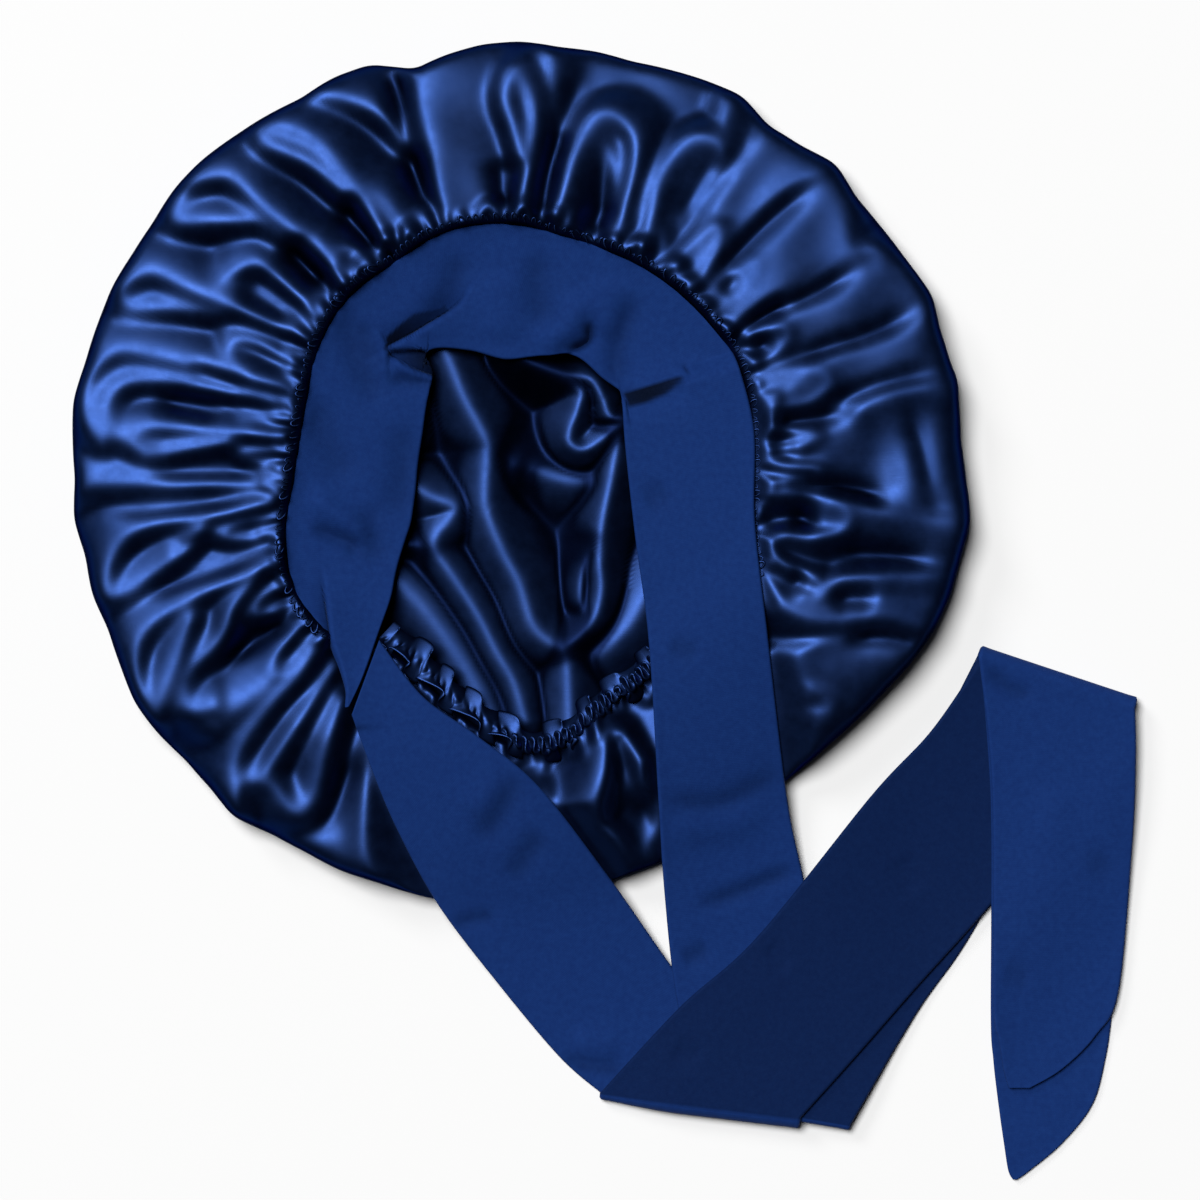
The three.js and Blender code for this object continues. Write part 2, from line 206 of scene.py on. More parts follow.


# The darkening attribute holds each point's painted shade from 0 to 1, darkest deep in folds, on steep faces
# and below overlapping cloth; the turned-over tie legs are darkened all over
def meshOf(name, points, faces, uvs=None, paintedShade=None):
    mesh = bpy.data.meshes.new(name)
    mesh.from_pydata(points.tolist(), [], faces)
    mesh.polygons.foreach_set("use_smooth", np.ones(len(mesh.polygons), bool))
    if uvs is not None:
        layer = mesh.uv_layers.new(name="cloth")
        loops = np.empty(len(mesh.loops), int)
        mesh.loops.foreach_get("vertex_index", loops)
        layer.data.foreach_set("uv", uvs[loops].astype(np.float32).ravel())
    if paintedShade is not None:
        layer = mesh.attributes.new("paintedShade", "FLOAT", "POINT")
        layer.data.foreach_set("value", paintedShade.astype(np.float32))
    mesh.update()
    return addObject(name, mesh)


# Satin crown

crownCut = {
    "columns": 640,
    "topRows": 92,
    "floorRings": 4,
    "discShare": 0.64,
    "wall": 0.9,
    "crestHeight": 0.95,
    "crestRound": 2,
    "crestEdge": 0.8,
    "crestGentle": 0.75,
    "crestSteep": 1.7,
    "narrowAt": 85,
    "narrowOver": 60,
    "narrowest": 0.4,
    "widest": 1.5,
    "softening": 8,
    "foldSpan": 45,
    "foldFloor": -3.4,
    "foldBlend": 0.8,
    "bottomRound": 1.5,
    "valleyDepth": 0.6,
    "valleyWidth": 0.9,
    "valleyPower": 1.2,
    "napeMiddle": 276,
    "napeHalf": 62,
    "napeSag": 7,
    # painted shade in the folds and on steep faces
    "broadSteps": 45,
    "broadDepth": 3.4,
    "broadShade": 0.8,
    "fineSteps": 5,
    "fineDepth": 0.75,
    "cavityShade": 0.85,
    "steepShade": 0.25,
    "liningStep": 14,
}

rimLine = rowsOf(("angle", "radius"), (
    (0, 177.4), (5, 176), (10, 177.2), (13, 178.6), (15, 177.4), (20, 177.4), (24, 179.6), (30, 176.6),
    (35, 175.4), (40, 174.6), (45, 177.6), (50, 173.6), (55, 172), (60, 176.4), (65, 175.4), (70, 173.8),
    (75, 172.4), (80, 173.2), (85, 172.8), (90, 174.6), (95, 174), (100, 171.6), (104.5, 168.6), (110, 176),
    (115, 176.6), (120, 175.2), (125, 176.6), (130, 178.2), (135, 179.6), (140, 180), (145, 178.8),
    (150, 178.8), (155, 179.8), (165, 179.4), (170, 180.8), (175, 179.2), (180, 177.4), (185, 178.8),
    (190, 176), (195, 176.6), (200, 174.8), (205, 175.8), (210, 177.4), (215, 176.4), (220, 174.2),
    (225, 174.4), (229.5, 176.4), (235, 172.6), (240, 171.4), (245, 171.6), (250, 170.4), (260, 170.6),
    (265, 168.5), (270, 167.5), (275, 166), (280, 164.5), (285, 163), (290, 162.5), (296, 160.5), (305, 159),
    (312, 160), (320, 162.4), (325, 165), (330, 168), (335, 172), (340, 175.4), (345, 177.4), (350, 178),
    (354.5, 180), (357, 179),
))

gatherLine = rowsOf(("angle", "radius"), (
    (0, 91.2), (10, 92.4), (20, 95.8), (30, 98), (60, 97.3), (75, 97), (83, 98.5), (90, 101.3), (103, 102.8),
    (112, 101.6), (120, 99), (130, 99.6), (140, 98), (150, 94.4), (160, 90.4), (168, 88.8), (175, 89.4),
    (182, 90.5), (190, 94.4), (200, 98.8), (210, 100), (218, 98), (226, 91), (233, 86), (240, 87), (250, 93),
    (258, 99), (266, 105), (273, 108), (280, 105.6), (286, 99.5), (291, 96), (300, 92.6), (310, 91.6),
    (320, 94), (328, 99), (335, 102.8), (340, 98.8), (346, 94.2), (353, 91.6),
))

# The top sheet's section from the mouth to the floor: place 0 at the mouth and 1 at the rim
crownSection = rowsOf(("place", "height", "foldShare"), (
    (-0.06, 18.8, 0.05),
    (-0.025, 20.4, 0.2),
    (-0.006, 21.9, 0.45),
    (0.008, 23.2, 0.7),
    (0.05, 24, 0.85),
    (0.14, 24.3, 1),
    (0.38, 23.4, 1),
    (0.6, 21.6, 1),
    (0.8, 19.9, 1),
    (0.9, 18.9, 1),
    (0.955, 17.8, 0.95),
    (0.986, 15.2, 0.75),
    (1, 9, 0.2),
    (0.995, 3, 0),
    (0.95, 0, 0),
))

# Fold crests on the crown: height and half width in mm, points as degrees and mm from the middle, and where
# a fold is unlike the others the slopes of its clockwise and counterclockwise sides
crownCrests = (
    (6, 3, [(-23.3, 172), (-23.6, 160), (-25.5, 148), (-28, 138), (-30, 133)], 0.1, 1.7),
    (7, 3.4, [(-20, 174), (-21, 160), (-22.5, 147), (-24.5, 137), (-25.7, 127), (-26, 115), (-25, 104)], 0.8,
              0.6),
    (6.5, 3.4, [(-13, 174), (-13.5, 157), (-14.5, 149), (-16, 139), (-17.5, 132), (-20, 129), (-21.7, 126),
                (-22.2, 121)], 0.5, 1.7),
    (6.5, 3, [(-18.5, 124), (-18, 112), (-16.5, 105), (-13.5, 102), (-11.5, 109), (-10.8, 120), (-9.5, 129),
              (-7.5, 132), (-5, 129), (-3, 120), (-2.8, 112), (-4, 99)], 0.8, 1.2),
    (7, 3, [(-5.5, 177), (-5.6, 165), (-5.5, 150), (-4, 135), (-2.9, 124)], 0.3, 1.8),
    (4, 3, [(-7.5, 172), (-8, 155), (-8.2, 140)], 0.7, 0.3),
    (5, 4.5, [(-5, 174), (-2, 169.5), (1.5, 167), (5, 165), (8.5, 164), (11, 166)], 0.6, 0.6),
    (6, 4.5, [(-4.6, 151), (-4, 154.5), (-1.5, 156), (1.5, 154.5), (5, 152), (9, 149), (12, 146)], 0.6, 0.6),
    (4.5, 4, [(9.5, 146), (9.5, 125)], 0.08, 1.7),
    (6, 3, [(-0.7, 100), (-0.7, 109), (-0.4, 115), (0.8, 120), (2, 117), (2.5, 110), (4, 99)], 0.9, 1.4),
    (6, 3, [(6.5, 98), (6.8, 110), (7.8, 117), (8.8, 119), (10, 114), (11, 102), (11.6, 96)], 0.9, 1.4),
    (7, 3.4, [(12, 178), (13, 165), (13.5, 155), (13.2, 145), (12.2, 138)], 0.5, 1.7),
    (6.5, 3, [(22, 178), (21.4, 165), (21.2, 152), (21.8, 132), (22.5, 119), (23.2, 103)], 0.1, 1.7),
    (6.5, 3, [(17, 97), (15.5, 107), (14.5, 114), (14.5, 120), (15.8, 127), (17.5, 129), (19.5, 127),
              (21, 121)], 0.9, 1.5),
    (5, 2.4, [(16.4, 104), (18, 112), (19.4, 117)], 0.9, 1.2),
    (6, 3.4, [(30.6, 174), (30, 150), (30.4, 130), (31.4, 118)], 0.1, 0.9),
    (6.5, 3, [(26, 105), (26.2, 113), (27, 118), (28.5, 121), (30, 120), (31.5, 115), (32.3, 106)], 0.9,
              1.4),
    (7, 2.8, [(32.4, 169), (33.6, 166), (34.2, 155), (34, 140), (34.2, 128)], 0.7, 1.2),
    (7, 2.8, [(35, 159), (35.6, 149), (35.7, 137), (35.5, 127), (35.6, 112), (35, 100)], 1.7, 0.08),
    (5.5, 2.8, [(45.2, 175), (46.1, 162), (47.3, 149), (47.8, 134), (47.3, 119), (47, 104)], 1.8, 1.1),
    (5.5, 2.6, [(40, 103), (40.2, 117), (41, 124), (42.5, 127), (44, 124), (45, 112)], 0.7, 1.2),
    (5, 2, [(35.8, 102), (36.2, 107), (37.4, 109), (39, 106), (39.8, 100)], 0.9, 1.3),
    (5, 4, [(54.8, 172), (55.2, 150), (55.4, 125), (55.2, 106)], 0.3, 1.8),
    (0.5, 8, [(71, 163), (80, 164)], 0.25, 0.25),
    (1, 20, [(242, 170), (245, 140)]),
    (1, 16, [(262, 165), (266, 125)]),
    (1, 16, [(275, 160), (274, 125)]),
    (1, 16, [(300, 150), (308, 120)]),
    (6, 4.5, [(47.6, 100), (48.8, 118), (52, 127), (54, 118), (55, 102)]),
    (4, 3.6, [(49, 104), (50.5, 114), (52, 120)]),
    (4.5, 3.2, [(57, 150), (57.2, 135), (56.8, 118)]),
    (4.5, 4, [(57.7, 102), (59, 110), (61, 112), (62, 104)]),
    (5, 5, [(61.4, 173), (60.5, 163), (58.5, 157)]),
    (6, 5, [(57.4, 152), (60, 155), (63.2, 152), (65, 143), (65.2, 130), (63.6, 116), (62.6, 104)]),
    (7.5, 5.5, [(68.7, 100), (69.3, 126), (71, 141), (74, 148), (77, 149), (79.6, 143), (81.4, 126),
                (82.4, 106)]),
    (4, 5, [(70.6, 114), (73.6, 130), (77, 141)]),
    (6, 4.2, [(83, 140), (84.8, 156), (86.6, 172)]),
    (7, 4.4, [(91.6, 100), (89, 118), (87.6, 140), (88.6, 153), (91, 162), (92.6, 151), (91.4, 139),
              (90, 127)]),
    (6.5, 6, [(104.5, 172), (105, 150), (105.5, 125), (105.5, 106)], 0.28, 1.7),
    (5, 4.4, [(108.6, 141), (110, 150), (113.2, 161), (118, 173)]),
    (4.5, 3, [(110, 103), (111, 110), (114, 111), (115.6, 104)]),
    (3.5, 2.6, [(102.5, 103), (105, 106), (107.5, 103)]),
    (6, 6, [(115, 101), (115.6, 114), (117, 125), (119.4, 134)]),
    (7.5, 4.6, [(119.6, 110), (120.2, 135), (121.2, 156), (125.6, 173), (127.4, 167), (124, 150),
                (121.8, 133)]),
    (4.5, 3.4, [(124.6, 101), (125.8, 111), (129, 115), (131.6, 110)]),
    (8, 4.8, [(131.8, 104), (132.4, 125), (133.4, 150), (134.2, 166), (138, 177)]),
    (6, 4.8, [(138, 176), (141.5, 176), (143.4, 170), (140, 157), (135.8, 145), (134.8, 135)]),
    (6, 4.6, [(141.2, 102), (140.4, 124), (141.2, 134), (144, 139), (147.5, 142)]),
    (4, 3, [(136.6, 101), (137.8, 108), (139.6, 103)]),
    (7.5, 4.8, [(146.8, 101), (148.8, 124), (150.2, 150), (151, 167), (154.4, 177)]),
    (5.5, 4.6, [(155, 176), (156.6, 169), (154, 152), (151.2, 134)]),
    (5.5, 4.4, [(153.2, 100), (152.8, 115), (154.2, 124), (157, 126), (158.6, 116)]),
    (7.5, 4.8, [(158.8, 96), (160.6, 124), (161.6, 150), (163, 168), (168, 178), (172.4, 175),
                (175.4, 166)]),
    (6.5, 4.6, [(163, 100), (164, 130), (165.6, 155), (168.4, 165), (172.2, 166), (175, 158), (176.6, 147)]),
    (6.5, 4.4, [(170.6, 97), (171.6, 130), (172.8, 149), (175.2, 154), (177, 146), (175.4, 131),
                (173.4, 116)]),
    (4.5, 3.2, [(159.4, 92), (160.6, 109), (163, 103), (164, 94)]),
    (4.5, 3.4, [(165.6, 94), (167.8, 112), (170.4, 104)]),
    (4.5, 3.2, [(173.6, 92), (175.4, 112), (177.8, 100), (178.4, 92)]),
    (6, 7.5, [(181, 174), (181, 150), (181.4, 120), (182, 94)]),
    (7.5, 4.6, [(186, 98), (187, 125), (187.8, 150), (191, 164), (196, 170), (196.4, 160), (194, 143),
                (190, 128)]),
    (5, 3.6, [(188.8, 96), (189.6, 114), (191.6, 120), (193.2, 110), (193.6, 100)]),
    (8, 4.8, [(199, 100), (200, 130), (201.2, 150), (203.4, 164), (208, 172.5), (213, 173), (210.6, 161),
              (203.8, 142)]),
    (6.5, 4.8, [(200.6, 110), (204.4, 124), (208.6, 134), (210.4, 150), (213, 158), (215.6, 160),
                (217.2, 151)]),
    (4, 3.6, [(204.4, 101), (205.4, 113), (208, 118), (209.4, 110)]),
    (5.5, 8, [(219.4, 155), (220, 138), (219.4, 126)]),
    (5, 4, [(214, 102), (216, 117), (219, 124), (221.8, 116)]),
    (7, 4.4, [(220.6, 101), (223, 120), (225.2, 150), (229.6, 174)]),
    (6, 4.2, [(226, 104), (228.2, 130), (229.6, 158)]),
    (5.5, 4.4, [(231.4, 112), (235, 132), (238.2, 151), (236.4, 160), (231.5, 156)]),
    (4.5, 7, [(245, 120), (247, 145), (250, 168)]),
    (4.5, 7, [(257, 120), (258, 145), (260, 166)]),
    (6.5, 5, [(283.6, 163), (284, 150), (282.4, 140), (284, 130), (287, 118), (288.6, 106)]),
    (5, 3.6, [(293.4, 128), (293, 118), (292.4, 108)]),
    (6, 4.4, [(317.6, 136), (321, 148), (323.6, 154), (324.6, 147), (323, 134), (322, 124)]),
)
crownValleys = (
    (-7, 3, [(-22.4, 176), (-23, 162), (-24.4, 152), (-27, 143)]),
    (-5, 3.4, [(-18.6, 150), (-20, 138), (-22, 132)]),
    (-7, 3.4, [(-11.4, 168), (-11.6, 150), (-12.4, 135), (-13.5, 120)]),
    (-5, 3, [(-20.6, 120), (-19, 114)]),
    (-6, 4, [(-8.4, 119), (-7.8, 108)]),
    (-8, 3.2, [(-3.6, 148), (-2, 135), (-1.4, 122), (-1.6, 104)]),
    (-2.5, 2.6, [(-3, 163), (5, 159), (11, 156)]),
    (-6, 3, [(11.4, 134), (11.8, 118), (12.4, 100)]),
    (-6, 2.6, [(14.4, 174), (14.6, 150), (14, 132), (13.4, 118)]),
    (-6.5, 2.4, [(22.8, 174), (22.4, 150), (23, 132), (23.6, 112)]),
    (-7, 2.6, [(32, 160), (32.2, 140), (33.2, 124), (33.9, 104)]),
    (-5, 3, [(29, 114), (29, 106)]),
    (-8, 3.4, [(45, 170), (45.6, 150), (46, 130), (46, 104)]),
    (-4, 2.4, [(42.8, 118), (42.4, 108)]),
    (-4, 2.2, [(5.2, 110), (5.6, 100)]),
    (-4, 2, [(8.2, 110), (8.2, 100)]),
    (-5, 3, [(56, 168), (56.2, 140), (56.2, 104)]),
    (-4, 2.6, [(58.4, 150), (58.4, 120)]),
    (-4, 3, [(67.5, 160), (67.6, 130), (66, 104)]),
    (-8, 4.4, [(81.4, 170), (82.6, 148), (84.6, 124), (85.6, 102)]),
    (-6, 3.6, [(94, 128), (93.6, 106)]),
    (-9, 3.4, [(105.5, 178), (107.8, 160), (108.6, 136), (109.4, 112)]),
    (-7, 4, [(122.4, 132), (122.8, 106)]),
    (-9, 6, [(134.6, 132), (135.6, 108)]),
    (-6, 3.6, [(145.8, 136), (145, 108)]),
    (-5, 3, [(161.6, 140), (161.6, 112)]),
    (-6, 3.4, [(168, 150), (168, 118)]),
    (-6, 3.4, [(178.8, 150), (178.4, 98)]),
    (-6, 3.2, [(184.6, 168), (184.8, 140), (184, 104)]),
    (-4, 3, [(191.6, 142), (191, 122)]),
    (-6, 3.6, [(197.2, 160), (196.8, 130), (196.4, 104)]),
    (-7, 3.2, [(211.6, 140), (211.4, 104)]),
    (-7, 3, [(227.4, 168), (225, 140), (223.6, 112)]),
    (-5, 5, [(240, 165), (240, 124)]),
    (-6, 5, [(290.4, 156), (290.4, 110)]),
)


def planPath(path):
    return [(r * math.cos(math.radians(a)), r * math.sin(math.radians(a))) for a, r in path]


def withSlopes(row):
    return row if len(row) == 5 else (*row, crownCut["crestGentle"], crownCut["crestSteep"])


# A steep side bends over more tightly than a gentle one
def roundOf(width, slope):
    return width * crownCut["crestRound" if slope < 1.2 else "crestEdge"]


def crestTable():
    return [{
        "height": height * crownCut["crestHeight"],
        "width": roundOf(width, gentle),
        "edge": roundOf(width, steep),
        "gentle": gentle,
        "steep": steep,
        "narrowAt": crownCut["narrowAt"],
        "span": crownCut["foldSpan"],
        "endShare": 1,
        "path": planPath(path),
    } for height, width, path, gentle, steep in map(withSlopes, crownCrests)]


def valleyTable():
    paintedShadeColour, wide = crownCut["valleyDepth"], crownCut["valleyWidth"]
    return [(height * paintedShadeColour, width * wide, planPath(path)) for height, width, path in crownValleys]


puckerCut = {
    "seed": 11,
    "lean": 1.4,
    "lengths": (4, 14),
    "heights": (2.2, 4.6),
    "widths": (1.6, 3),
    "gaps": (1.7, 4.2),
    "loopShare": 0.35,
    "loopWidths": (2, 4),
    "loopGap": 1.5,
    "shape": {"edge": 1, "gentle": 0.95, "steep": 2.2, "narrowAt": 37, "span": 12},
    "floor": -2,
    "blend": 0.25,
}


# Puckers where the satin is gathered on to the band: short crests of uneven length that lean both ways,
# some of them bent over into small loops
def puckerTable():
    cut = puckerCut
    rng = np.random.default_rng(cut["seed"])
    rows = []
    angle = 0
    while angle < 360:
        start = gatherRadius(angle) - 2
        lean = rng.normal(0, cut["lean"])
        length = rng.uniform(*cut["lengths"])
        loop = rng.uniform(0, 1) < cut["loopShare"]
        path = [(angle, start), (angle + lean * 0.6, start + length * 0.55), (angle + lean, start + length)]
        if loop:
            width = rng.uniform(*cut["loopWidths"])
            path = [(angle, start), (angle + width * 0.15, start + length * 0.6),
                    (angle + width * 0.5, start + length * 0.8), (angle + width, start + length * 0.5),
                    (angle + width * 1.1, start)]
        rows.append({
            "height": rng.uniform(*cut["heights"]),
            "width": rng.uniform(*cut["widths"]),
            "endShare": 0.8 if loop else 0.3,
            "path": planPath(path),
            **cut["shape"],
        })
        angle += rng.uniform(*cut["gaps"]) + (cut["loopGap"] if loop else 0)
    return rows


# Creases of the cloth inside the opening: height, half width and slope of their sides, then points in mm
floorCreases = (
    (11.5, 4.4, 0.62, [(-40, 66), (-30, 51.6), (-22, 32.4), (-13.6, 16), (-12.8, 8.8), (-13.6, -6),
                       (-12.4, -14.8), (-6.4, -29.6), (0, -42), (5.4, -58.4), (12.8, -65.8), (16.4, -66.8),
                       (19, -74), (20, -100)]),
    (9, 5, 0.5, [(-13, 14), (-8, 10), (-3, 6)]),
    (11.5, 3, 0.72, [(40, 20), (36.4, 0), (32.8, -18.4), (31.8, -33), (32.4, -44), (30, -54.8), (24.4, -62),
                     (17, -68)]),
    (9.5, 2.6, 0.8, [(30.8, -23), (25.4, -34.8), (24, -47.6), (26.4, -54.8), (25, -60)]),
    (10, 4, 0.62, [(-62, -2), (-46.4, -2), (-34.6, -7.6), (-26.4, -11.2), (-28.4, -16.8), (-32.8, -22.2),
                   (-33.6, -28.4), (-25.6, -40.4), (-16.4, -54.8), (-9, -69.4), (-2, -82), (2, -96)]),
    (8, 3, 0.6, [(-62, -30), (-47.2, -25.8), (-33.6, -28.4)]),
    (8.5, 6, 0.5, [(-66, -30), (-46, -44), (-32, -60), (-20, -78), (-12, -94)]),
    (8, 4.5, 0.5, [(0, 6), (10.8, 1.6), (19, -0.8), (27.2, -1.2)]),
    (12.5, 2.4, 0.85, [(-2, 52), (3.6, 46.8), (18, 41.6), (28, 39.6), (32.8, 32.4), (35.4, 25.2), (40, 24)]),
    (12, 2.4, 0.75, [(-4, 51), (1.6, 46.8), (22.8, 36.8), (23.2, 28.8), (20, 19.6), (20, 14.2), (25.4, 11.6),
                     (32.8, 16), (38.4, 20.6), (46, 24)]),
    (9, 5, 0.5, [(66, -30), (54, -40), (44, -58), (32, -70)]),
    (8, 6, 0.5, [(66, 44), (58, 20), (60, -10)]),
    (8, 6, 0.5, [(-44, 48), (-46, 24), (-56, 10)]),
)


# Radius of a closed line at any angle, with its corners rounded over five steps
def lineRadius(line, angle, step):
    fine = np.arange(0, 360, step)
    radius = np.interp(fine, line["angle"], line["radius"], period=360)
    radius = sum(np.roll(radius, k) for k in range(-2, 3)) / 5
    return np.interp(np.mod(angle, 360), fine, radius, period=360)


def gatherRadius(angle):
    return lineRadius(gatherLine, angle, 1.0)


def rimAt(angle):
    return lineRadius(rimLine, angle, 0.5)


# The top sheet sags towards its mouth on both sides of the nape's middle
def napeSag(angle, place):
    away = np.abs(np.mod(angle, 360) - crownCut["napeMiddle"])
    near = smooth((crownCut["napeHalf"] - away) / 12)
    return crownCut["napeSag"] * near * smooth(1 - 2 * np.clip(place, 0, 1))


# Rows of the section at even steps of its length
def sectionRows(count):
    fine = np.linspace(0, len(crownSection["place"]) - 1, 600)
    section = {name: spline(values, fine) for name, values in crownSection.items()}
    length = lengthAlong(np.hypot(80 * np.diff(section["place"]), np.diff(section["height"])))
    spots = np.linspace(0, length[-1], count)
    return {name: np.interp(spots, length, values)[:, None] for name, values in section.items()}


def crownTop():
    section = sectionRows(crownCut["topRows"])
    u, share = section["place"], section["foldShare"]
    angle = np.linspace(0, 360, crownCut["columns"], endpoint=False)[None, :]
    radius = gatherRadius(angle) * (1 - u) + rimAt(angle) * u
    x, y = polar(angle, radius)
    folds = foldHeight(x, y, crestTable(), crownCut["foldFloor"], crownCut["foldBlend"])
    folds = folds + ridgeHeight(x, y, valleyTable(), crownCut["valleyPower"])
    puckers = np.maximum(foldHeight(x, y, puckerTable(), puckerCut["floor"], puckerCut["blend"]), -0.5)
    # slow waves, so that no two plates between the folds are alike
    wander = 0.8 * np.sin(np.radians(9 * angle) + 3 * u) * np.sin(5 * u + 1)
    wander = wander + 0.6 * np.sin(np.radians(23 * angle) - 4 * u + 2) * np.sin(7 * u)
    atMouth = smooth((u + 0.012) / 0.016)
    lift = (folds + wander) * share + puckers * atMouth
    z = underTies(x, y, section["height"] + lift - napeSag(angle, u))
    for step in range(crownCut["softening"]):
        soft = 0.5 * (smooth(u / 0.12) if step else 1)
        z[1:-1] = mix(z[1:-1], aroundMean(z), (soft * np.ones_like(z))[1:-1])
    z = np.maximum(z, 0)
    return np.stack(np.broadcast_arrays(x, y, z), axis=-1), paintedFoldShade(z, u)


# Mean of the four neighbours on a grid that is closed across its columns
def aroundMean(z):
    return 0.25 * (z[:-2] + z[2:] + np.roll(z, 1, 1)[1:-1] + np.roll(z, -1, 1)[1:-1])


def evened(z, steps):
    z = z.copy()
    for _ in range(steps):
        z[1:-1] = aroundMean(z)
    return z


# Painted shade in the folds, from 0 to 1: darker where a point lies below its wide surroundings or below its
# near ones
def paintedFoldShade(z, u):
    broad = smooth((evened(z, crownCut["broadSteps"]) - z + 0.2) / crownCut["broadDepth"])
    broad = crownCut["broadShade"] * broad * (1 - smooth((u - 0.88) / 0.1)) * smooth(u / 0.1)
    fine = smooth((evened(z, crownCut["fineSteps"]) - z - 0.1) / crownCut["fineDepth"])
    return np.maximum(broad, fine)


# The satin is pressed down where a tie lies on it
def underTies(x, y, z):
    for tie in ("left", "right"):
        near = distanceToLeg(tieLegs[tie][0], x, y)
        seat = legHeight(tie, 0, x, y) - jerseyCut["wall"] / 2 - jerseyCut["layerGap"]
        z = np.minimum(z, seat + jerseyCut["satinSlope"] * np.maximum(near - 0.5, 0))
    return z


# The floor inside a ring as a square grid drawn out to a disc, so that its creases stay even;
# it returns the new points and the grid of point numbers, with the ring's own points on its edge
def discGrid(ring, ringIndex, firstIndex):
    cells = len(ring) // 4
    line = np.linspace(-1, 1, cells + 1)
    u, v = np.meshgrid(line, line, indexing="ij")
    wide = np.abs(u) >= np.abs(v)
    reach = np.where(wide, u, v)
    safe = np.where(reach == 0, 1, reach)
    turn = np.where(wide, v / safe, 2 - u / safe) * math.pi / 4
    x, y = reach * np.cos(turn), reach * np.sin(turn)
    angle = np.degrees(np.arctan2(y, x))
    columns = np.arange(len(ring)) * 360 / len(ring)
    radius = np.interp(angle, columns, np.hypot(ring[:, 0], ring[:, 1]), period=360)
    x, y = x * radius, y * radius
    edge = np.zeros_like(wide)
    edge[[0, -1]] = True
    edge[:, [0, -1]] = True
    index = np.zeros(edge.shape, int)
    index[~edge] = firstIndex + np.arange((~edge).sum())
    index[edge] = ringIndex[np.round(angle[edge] * len(ring) / 360).astype(int) % len(ring)]
    return np.stack([x[~edge], y[~edge]], axis=-1), index


creaseCut = {
    "span": 40,
    "floor": 1,
    "blend": 0.4,
    # painted shade between the creases
    "shadeBlend": 2.2,
    "darkest": 0.95,
}


# Height of the cloth inside on the floor, and its painted shade from 0 to 1, darkest on low ground and
# between the creases
def floorHeight(x, y, share):
    creases = [{"height": height, "width": width, "edge": width, "gentle": slope, "steep": slope,
                "narrowAt": 0, "span": creaseCut["span"], "endShare": 1, "path": path}
               for height, width, slope, path in floorCreases]
    lift, wide = (foldHeight(x, y, creases, creaseCut["floor"], creaseCut[name])
                  for name in ("blend", "shadeBlend"))
    dark = np.maximum(smooth((8 - lift) / 5.5), smooth((wide - lift - 0.35) / 0.7))
    return crownCut["wall"] + lift * smooth((0.9 - share) / 0.3), creaseCut["darkest"] * dark


def crownPiece():
    top, crownFoldShade = crownTop()
    wall = crownCut["wall"]
    rows, columns = top.shape[:2]
    normals = surfaceNormals(top, closedAcross=True)
    # painted shade on steep faces, most towards the mouth, and painted shade deep in the folds
    steepFaceShade = smooth((0.86 - normals[..., 2]) / 0.4) * np.linspace(1, 0, rows)[:, None] ** 0.5
    topPaintedShade = np.clip(crownCut["cavityShade"] * crownFoldShade + crownCut["steepShade"] * steepFaceShade, 0, 1)
    last = top[-1]
    # underside on the floor, from the middle outwards
    under = [last * np.array([s, s, 0]) for s in (0.2, 0.5, 0.8)]
    # the lining under the top sheet has fewer rows, so each keeps below the lowest point of the rows it spans
    lining = [top[0] - normals[0] * wall]
    span = crownCut["liningStep"]
    for k in sorted(range(rows - 6, 3, -span)):
        ring = top[k].copy()
        lowest = top[max(k - span, 0):k + span + 1, :, 2].min(axis=0)
        ring[:, 2] = np.maximum(lowest - wall, wall + 0.1)
        lining.append(ring)
    # the crown's cloth on the floor inside, with its creases and their painted shade, from the rim inwards
    inner = []
    innerPaintedShade = []
    for s in np.linspace(crownCut["discShare"], 0.97, crownCut["floorRings"])[::-1]:
        ring = last * np.array([s, s, 0])
        ring[:, 2], low = floorHeight(ring[:, 0], ring[:, 1], s)
        inner.append(ring)
        innerPaintedShade.append(low)
    rings = under + list(top[::-1]) + lining + inner
    count = len(rings)
    index = 1 + np.arange(count * columns).reshape(count, columns)
    disc, discIndex = discGrid(inner[-1], index[-1], 1 + count * columns)
    discHeight, discPaintedShade = floorHeight(disc[:, 0], disc[:, 1], 0)
    disc = np.column_stack([disc, discHeight])
    # the underside and the lining, never seen, get full painted shade
    hidden = [np.ones(columns)]
    paintedShade = hidden * len(under) + list(topPaintedShade[::-1]) + hidden * len(lining) + innerPaintedShade
    paintedShade = np.concatenate([[1]] + paintedShade + [discPaintedShade])
    points = np.concatenate([np.zeros((1, 3))] + rings + [disc])
    middle = [(0, int(index[0, (j + 1) % columns]), int(index[0, j])) for j in range(columns)]
    c, d = discIndex[:-1], discIndex[1:]
    cells = np.stack([c[:, :-1], d[:, :-1], d[:, 1:], c[:, 1:]], axis=-1).reshape(-1, 4)
    faces = middle + ringFaces(index) + cells.tolist()
    seamRow = top[int(np.argmax(sectionRows(rows)["place"][:, 0] > tuckCut["place"]))]
    return meshOf("satin_crown_cloth", points * mm, faces, points[:, :2] * mm, paintedShade), seamRow


# Head band and ties

